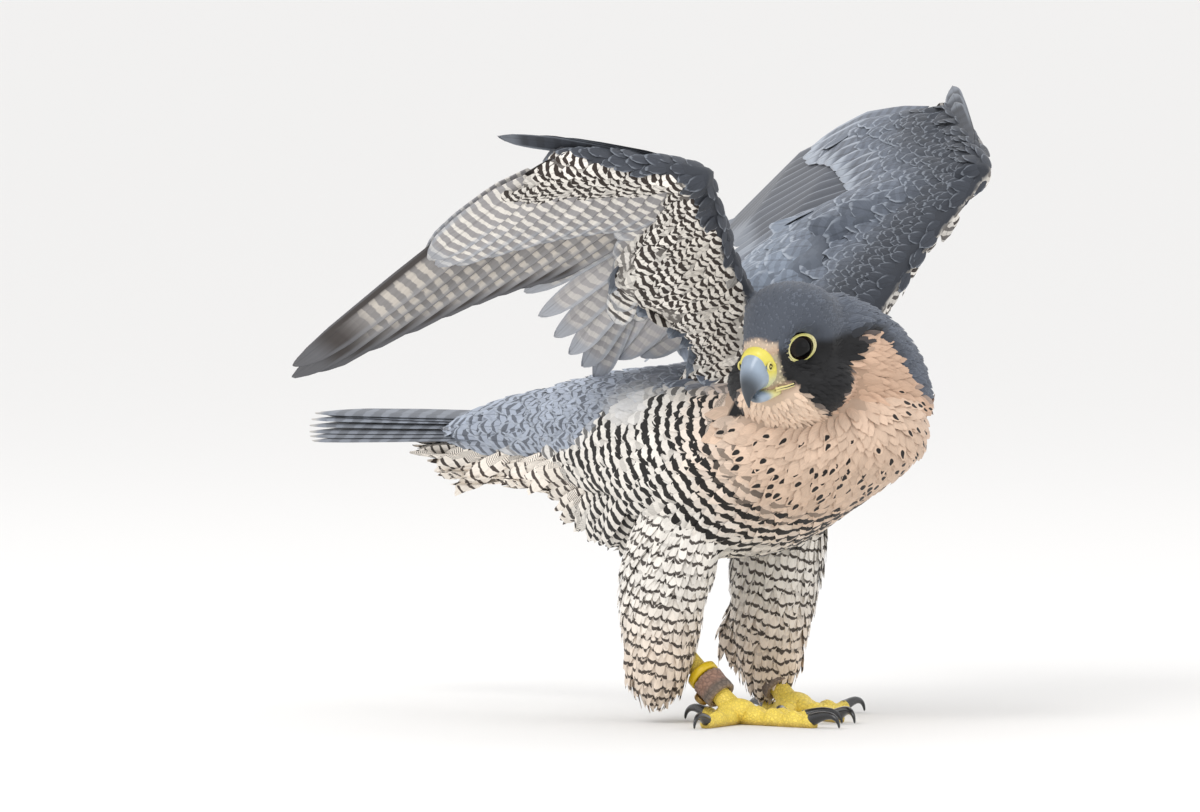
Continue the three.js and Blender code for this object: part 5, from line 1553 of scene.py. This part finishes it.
# Stations of each half: how far ahead and how high its ridge is, the same for its lower edge, and half width.
# In each pair of the tones something starts at the first number and is full at the second.
billSizes = {
    "upper": [
        [26, 2.6, 25.8, -16.2, 9], [29.5, 1.2, 28.6, -16, 7.8], [33.4, -2, 31.6, -16, 6.4],
        [36.9, -6.4, 34, -16.4, 4.8], [39.2, -12, 36.2, -17.4, 3.1], [39.9, -17, 37.6, -18.2, 1.7],
        [39.4, -21.6, 38.9, -21.3, 0.5],
    ],
    "lower": [
        [24.4, -16.9, 24.4, -21.8, 8.4], [30, -16.9, 30, -22.2, 6], [33.4, -17.4, 33.2, -21.6, 3.8],
        [35.2, -18.4, 35, -20.4, 1.6],
    ],
    "horn": srgb("#93a2b3"), "tip": srgb("#2f363e"), "tipAhead": (31, 39), "edge": srgb("#d6d39a"),
    "edgeHigh": (-15, -17), "edgeAhead": (32, 28), "lowerHorn": srgb("#9cabbb"), "lowerRoot": srgb("#d9d28f"),
    "lowerRootAhead": (31, 27.5), "lowerTip": srgb("#5b6874"), "lowerTipAhead": (33, 35.4),
}


def billRing(station, grow, back, sides):
    topAhead, topHigh, lowAhead, lowHigh, wide = station
    middle = headPoint((topAhead + lowAhead) / 2 + back, 0, (topHigh + lowHigh) / 2)
    tall = headPoint(topAhead + back, 0, topHigh) - middle
    tall = unit(tall) * (np.linalg.norm(tall) + grow)
    return ringPoints(middle, headSizes["left"] * (max(wide, 0.3) + grow), tall, sides, 0.94)


def billPlaces(points):
    offset = points - headSizes["centre"]
    return offset @ headSizes["forward"], offset @ headSizes["up"]


def makeBill():
    size = billSizes
    upper, lower = (loftArrays([billRing(station, 0, 0, 36) for station in denser(size[half], 6)])
                    for half in ("upper", "lower"))
    ahead, up = billPlaces(upper[0])
    tones = pick(smooth(*size["tipAhead"], ahead + 0.3 * (-up - 10)), size["tip"], size["horn"])
    edge = 0.7 * smooth(*size["edgeHigh"], up) * smooth(*size["edgeAhead"], ahead)
    bareMesh("billUpper", upper, pick(edge, size["edge"], tones), billHorn, "bill_horn", "bill_upper")
    ahead, up = billPlaces(lower[0])
    tones = pick(smooth(*size["lowerRootAhead"], ahead), size["lowerRoot"], size["lowerHorn"])
    tones = pick(smooth(*size["lowerTipAhead"], ahead), size["lowerTip"], tones)
    bareMesh("billLower", lower, tones, billHorn, "bill_horn", "bill_lower")


# The cere is a swollen skin over the root of the bill, ending in a soft rounded edge.
cereSizes = {
    "from": 25.0, "to": 30.2, "rings": 17, "bill": 26, "swell": (0.35, 0.55), "edge": 0.86, "edgeDrop": 0.25,
    "skin": srgb("#dccf58"), "low": srgb("#cdd0a4"), "lowHigh": (-7, -14),
}
# A nostril: a dent with a raised border, a rim, a pit painted near black as the shade inside the hole, and a
# knob, with distances from its middle.
nostrilSizes = {
    "ahead": 28, "high": -5.4, "dent": (1.9, 0.9), "dentDeep": 1.5, "border": 2.3, "borderHigh": 0.5,
    "borderWide": 0.6, "within": 3, "out": 0.25, "pit": [(0.05, 1.5), (0.35, 1.2)],
    "knob": [(-0.5, 0.5), (0, 0.5), (0.28, 0.4), (0.36, 0.15)], "rim": srgb("#e0d47c"),
    "dark": srgb("#14110e"),
}


def makeNostril(points, side):
    # Presses the nostril into these points of the cere, and gives its rim with the knob, and its pit.
    size, ahead, up = nostrilSizes, headSizes["forward"], headSizes["up"]
    out = headSizes["left"] * side
    middle = headPoint(size["ahead"], 0, size["high"])
    offset = points - middle
    distance = np.linalg.norm(offset - np.outer(offset @ out, out), axis=1)
    near = (offset @ out) > 0
    points -= out * ((size["dentDeep"] * smooth(*size["dent"], distance)) * near)[:, None]
    border = np.exp(-((distance - size["border"]) / size["borderWide"]) ** 2)
    points += out * (size["borderHigh"] * border * near)[:, None]
    wide = float(((offset @ out)[near & (distance < size["within"])]).mean())
    face = middle + out * (wide + size["out"])
    rim = makeTorus(face, ahead, up, 1.85, 0.5, 28, 8)
    pit = loftArrays([ringPoints(face - out * deep, ahead * radius, up * radius, 24)
                      for deep, radius in size["pit"]])
    heights, radii = zip(*size["knob"])
    knob = makeTube([face + out * high for high in heights], radii, 12)
    return joinArrays([rim, knob]), pit


def makeCere():
    size = cereSizes
    source = denser(billSizes["upper"], 12)
    rings = []
    for t in np.linspace(0, 1, size["rings"]):
        ahead = mix(size["from"], size["to"], t)
        station = source[int(np.argmin(np.abs(source[:, 0] - max(ahead, size["bill"]))))]
        swell = size["swell"][0] + size["swell"][1] * math.sin(math.pi * min(t * 0.9 + 0.1, 1))
        if t > size["edge"]:
            past = (t - size["edge"]) / (1 - size["edge"])
            swell = swell * max(1 - past ** 2, 0) * 0.9 - size["edgeDrop"] * past
        rings.append(billRing(station, swell, min(ahead - size["bill"], 0), 48))
    points, faces = loftArrays(rings)
    _, up = billPlaces(points)
    tones = pick(smooth(*size["lowHigh"], up), size["low"], size["skin"])
    nostrils = {"left": makeNostril(points, 1), "right": makeNostril(points, -1)}
    bareMesh("cere", (points, faces), tones, waxySkin, "cere_skin", "cere")
    for side, (rim, pit) in nostrils.items():
        bareMesh(f"nostrilRim_{side}", rim, nostrilSizes["rim"], waxySkin, "cere_skin")
        # The pit is a near-black disc: painted shade standing in for the inside of the nostril.
        bareMesh(f"nostrilPit_{side}", pit, nostrilSizes["dark"], waxySkin, "cere_skin")


makeBill()
makeCere()

gapeSizes = {
    "from": 18.5, "to": 27.5, "toOut": 7.8, "fromOut": 13, "high": -17.2, "drop": 0.6, "steps": 20,
    "onSkin": 0.3, "off": 1.3, "lip": 0.5, "lips": (0.5, -0.5), "gap": 0.4, "tone": srgb("#ddd08a"),
    "dark": srgb("#2b211b"),
}


def makeGape():
    # The lips run back from the bill along the cheek, and the corner lies below the eye.
    size, count = gapeSizes, gapeSizes["steps"]
    lips, dark = [], []
    for side in (1, -1):
        path = []
        for t in np.linspace(0, 1, count):
            guess = headPoint(mix(size["to"], size["from"], t), side * mix(size["toOut"], size["fromOut"], t),
                              size["high"] - size["drop"] * t)
            place, normal, _, _ = skinTree.find_nearest(Vector(guess))
            path.append(np.array(place) + np.array(normal) * size["off"] if t > size["onSkin"] else guess)
        path = [(path[max(i - 1, 0)] + path[i] + path[min(i + 1, count - 1)]) / 3 for i in range(count)]
        radii = size["lip"] * np.linspace(1.3, 0.55, count)
        for lift in size["lips"]:
            lips.append(makeTube([point + headSizes["up"] * lift for point in path], radii, 10))
        dark.append(makeTube(path, size["gap"] * np.ones(count), 8))
    bareMesh("gapeLips", joinArrays(lips), size["tone"], waxySkin, "cere_skin")
    bareMesh("gapeShadow", joinArrays(dark), size["dark"], waxySkin, "cere_skin")


makeGape()
print("head: eyes, bill and cere")

toeSizes = {
    "middle": {"turn": 0, "length": 47, "thick": 5, "thin": 3.7, "claw": 19, "swells": 4},
    "inner": {"turn": 36, "length": 33, "thick": 4.9, "thin": 3.7, "claw": 19, "swells": 3},
    "outer": {"length": 37, "thick": 4.5, "thin": 3.4, "claw": 16, "swells": 3},
    "hind": {"turn": 172, "length": 22, "thick": 4.8, "thin": 3.8, "claw": 19, "swells": 2},
}
# Tarsus: distances up the leg from its base and radii, with the last two distances from the ankle.
footSizes = {
    "sides": 28, "scute": 2.3, "scuteHigh": 0.32, "lowest": 0.7, "clawTip": 0.1, "clawEnd": 0.4,
    "floor": 0.02, "clawArch": 3.2, "clawReach": 0.92, "tarsus": [[-4, 5.6], [0, 5.3], [6, 4.7], [20, 4.4]],
    # Floor shade is painted shade: the darker yellow the toes and pad take where they meet the floor.
    "ankle": [[-8, 4.7], [2, 5.6]], "skin": srgb("#ebd058"), "floorShade": srgb("#bfa04c"),
    "legSkin": srgb("#e4c955"), "claw": srgb("#16171a"), "clawRoot": srgb("#3a3b3c"),
}


def toeWay(leg, toe):
    angle = math.radians(toe.get("turn", leg["outerTurn"]) + leg["toeIn"])
    return vec(-leg["side"] * math.sin(angle), -math.cos(angle), 0)


def onFloor(points):
    points[:, 2] = np.maximum(points[:, 2], footSizes["floor"])
    return points


def makeToe(leg, toe):
    way, size = toeWay(leg, toe), footSizes
    side = np.cross(vec(0, 0, 1), way)
    angles = np.linspace(0, 2 * math.pi, size["sides"], endpoint=False)
    top = smooth(0.25, 0.7, np.sin(angles))
    rings = []
    steps = toe["length"] * 3
    for i in range(steps + 1):
        t = i / steps
        reach = mix(-1, toe["length"] + 0.6, t)
        swell = 0.9 + 0.12 * math.cos(2 * math.pi * (t * toe["swells"] + 0.08))
        radius = mix(toe["thick"], toe["thin"], t) * swell
        radius *= math.sqrt(max(1 - smooth(0.93, 1.02, t) * 0.75, 0.1))
        ridge = size["scuteHigh"] * (1 - (reach / size["scute"]) % 1) ** 0.6
        radial = radius * (1 - 0.04 * top) + ridge * top * (radius / 4)
        # Pads below are flattened on the floor.
        out = radial * np.cos(angles) * (1 + 0.06 * (np.sin(angles) < 0))
        centre = leg["foot"] + way * reach + vec(0, 0, radius - size["lowest"])
        rings.append(onFloor(centre + np.outer(out, side) + np.outer(radial * np.sin(angles), vec(0, 0, 1))))
    return loftArrays(rings)


def makeClaw(leg, toe):
    way, size = toeWay(leg, toe), footSizes
    start = leg["foot"] + way * (toe["length"] - toe["thin"] * 0.5)
    radius = toe["thin"] * 0.8
    base = radius + 0.6
    path, radii = [], []
    for t in np.linspace(0, 1, 26):
        reach = toe["claw"] * size["clawReach"] * math.sin(t * math.pi / 2)
        fall = (base - size["clawTip"] - size["clawEnd"]) * t * t
        high = base + size["clawArch"] * math.sin(math.pi * t) - fall
        path.append(start + way * reach + vec(0, 0, high))
        radii.append(mix(radius, size["clawEnd"], t ** 0.8) * (1 - 0.6 * smooth(0.97, 1, t)))
    points, faces = makeTube(path, np.array(radii), 16, 1.1)
    return onFloor(points), faces


def legAxis(leg):
    base = leg["foot"] + vec(0, 3, 7)
    return base, unit(leg["ankle"] - base)


def makeLeg(name, leg):
    size = footSizes
    base, up = legAxis(leg)
    long = np.linalg.norm(leg["ankle"] - base)
    stations = denser(size["tarsus"] + [[long + far, radius] for far, radius in size["ankle"]], 8)
    tarsus = makeTube([base + up * far for far, _ in stations], [radius for _, radius in stations], 32)
    run, wide, deep = np.eye(3)[[2, 0, 1]] * np.array([[6.2], [8.6], [9.6]])
    pad = ovalArrays(leg["foot"] + vec(0, 0, 5.8), run, wide, deep, 0.12, 14, 32)
    shape = joinArrays([(onFloor(pad[0]), pad[1])] + [makeToe(leg, toe) for toe in toeSizes.values()])
    # Painted shade: the toes and pad darken within about 3 mm of the floor.
    tones = pick(0.7 * smooth(3.2, 0.6, shape[0][:, 2]), size["floorShade"], size["skin"])
    bareMesh(f"foot_{name}Skin", shape, tones, footSkin, "foot_skin", f"foot_{name}")
    bareMesh(f"tarsus_{name}Skin", tarsus, size["legSkin"], footSkin, "foot_skin", f"tarsus_{name}")
    for which, toe in toeSizes.items():
        shape = makeClaw(leg, toe)
        far = (shape[0] - leg["foot"]) @ toeWay(leg, toe) - toe["length"]
        tones = pick(smooth(1, -2, far), size["clawRoot"], size["claw"])
        bareMesh(f"claw_{name}_{which}Horn", shape, tones, clawHorn, "claw_horn", f"claw_{name}_{which}")


# Profiles: a radius and a height up the leg. The upper cut of the leather is rough, with this many teeth.
cuffSizes = {
    "start": 8.5, "length": 12, "inner": 5, "outer": 7.8, "teeth": 90, "tooth": (-0.75, 0.3),
    "profile": [(5, 0.4), (5.5, 0), (7, 0), (7.5, 0.5), (7.65, 3), (7.4, 6), (7.6, 9), (7.7, 11.1), (7, 11.7),
                (5.4, 11.6), (5, 11.2), (5, 6)],
    "leather": srgb("#635850"), "upper": srgb("#8f7061"), "upperHigh": (4.2, 5.6), "rubbed": srgb("#b49c88"),
}
eyeletSizes = {
    "high": 8, "way": vec(0, 0.86, -0.5), "out": 1.5, "rim": 0.5, "barrel": 1.3,
    "profile": [(1.75, 0), (3.5, 0), (3.3, 1.6), (1.8, 2.4)], "brass": srgb("#a98a52"),
}
ringSizes = {
    "above": 0.3, "plastic": srgb("#dfbe1e"),
    "profile": [(5, 0.4), (5.5, 0), (7, 0), (7.6, 0.6), (7.6, 3.4), (7, 4), (5.5, 4), (5, 3.6)],
}


def makeCuff(name, leg):
    size, long, count = cuffSizes, cuffSizes["length"], cuffSizes["teeth"]
    base, up = legAxis(leg)
    base = base + up * size["start"]
    teeth = np.random.default_rng(17).uniform(*size["tooth"], count)

    def edge(angle, high, radius):
        rough = teeth[int(angle / (2 * math.pi) * count) % count]
        return rough * max((high - long + 3) / 3, 0) if radius > size["inner"] + 0.2 else 0

    shape = makeBand(base, *crossAxes(up), up, size["profile"], count, edge)
    high = (shape[0] - base) @ up
    tones = pick(smooth(*size["upperHigh"], high), size["upper"], size["leather"])
    rubbed = 0.5 * smooth(long - 1.6, long - 0.4, high) + 0.4 * smooth(1, 0, high)
    tones = pick(rubbed, size["rubbed"], tones)
    bareMesh(f"anklet_{name}Leather", shape, tones, strapLeather, "anklet_leather", f"anklet_{name}")
    eyelet = eyeletSizes
    outward = unit(eyelet["way"] - up * np.dot(eyelet["way"], up))
    centre = base + up * eyelet["high"] + outward * (size["outer"] + eyelet["out"])
    rim = makeTorus(centre + outward * eyelet["rim"], np.cross(up, outward), up, 2.65, 0.85, 36, 10)
    inside = centre - outward * eyelet["barrel"]
    barrel = makeBand(inside, *crossAxes(outward), outward, eyelet["profile"], 36)
    shape = joinArrays([rim, barrel])
    bareMesh(f"eyelet_{name}Brass", shape, eyelet["brass"], dullBrass, "eyelet_brass", f"eyelet_{name}")
    if name == "right":
        size = ringSizes
        shape = makeBand(base + up * (long + size["above"]), *crossAxes(up), up, size["profile"], 72)
        bareMesh("legRingPlastic", shape, size["plastic"], ringPlastic, "ring_plastic", "leg_ring_right")


for name, leg in legs.items():
    makeLeg(name, leg)
    makeCuff(name, leg)
print("legs: feet, claws, anklets and ring")


# Floor, light and camera

# The camera's way is level, in the frame. Each light: how far along that way, to its right and up from the
# middle of the bird, in metres, then its size and power.
viewSizes = {
    "target": vec(-49.8, 55.3, 147), "way": (0.743, 0.669), "elevation": 2.5, "distance": 8.0, "lens": 516,
    "sensor": 36, "clip": 400, "floor": 60.0, "paint": srgb("#e9e8e6"), "sky": srgb("#f4f4f5"),
    "skyPower": 1.18,
}
lightSizes = {
    "keyLight": (-1.6, -1.1, 1.9, 1.3, 24), "fillLight": (-1.4, 1.8, 0.6, 1.6, 2),
    "rimLight": (1.3, 0, 1.9, 1.2, 4),
}


def makeStage():
    size = viewSizes["floor"]
    mesh = bpy.data.meshes.new("floor")
    corners = [(-size, -size, 0), (size, -size, 0), (size, size, 0), (-size, size, 0)]
    mesh.from_pydata(corners, [], [(0, 1, 2, 3)])
    # Flat paint on the floor.
    paint = Surface("matFloorPaint")
    paint.shader.inputs["Base Color"].default_value = (*viewSizes["paint"], 1)
    paint.shader.inputs["Roughness"].default_value = 0.9
    mesh.materials.append(paint.material)
    placeObject("floor", mesh)
    bpy.context.scene.view_settings.view_transform = "Standard"
    world = bpy.data.worlds.new("softStudio")
    bpy.context.scene.world = world
    world.use_nodes = True
    background = world.node_tree.nodes["Background"]
    background.inputs[0].default_value = (*viewSizes["sky"], 1)
    background.inputs[1].default_value = viewSizes["skyPower"]


def aim(item, place, way):
    item.location = place
    item.rotation_euler = way.to_track_quat("-Z", "Y").to_euler()


def makeCamera():
    middle = Vector(toScene(viewSizes["target"]))
    tilt = math.radians(viewSizes["elevation"])
    ahead, aside = viewSizes["way"]
    inward = Vector((ahead * math.cos(tilt), aside * math.cos(tilt), -math.sin(tilt))).normalized()
    right = Vector((aside, -ahead, 0))
    data = bpy.data.cameras.new("camera")
    data.lens, data.sensor_width, data.clip_end = (viewSizes[key] for key in ("lens", "sensor", "clip"))
    camera = placeObject("camera", data)
    aim(camera, middle - inward * viewSizes["distance"], inward)
    bpy.context.scene.camera = camera
    for name, (along, across, up, size, power) in lightSizes.items():
        light = bpy.data.lights.new(name, "AREA")
        light.shape, light.size, light.energy = "DISK", size, power
        place = middle + inward * along + right * across + Vector((0, 0, up))
        aim(placeObject(name, light), place, middle - place)


makeStage()
makeCamera()

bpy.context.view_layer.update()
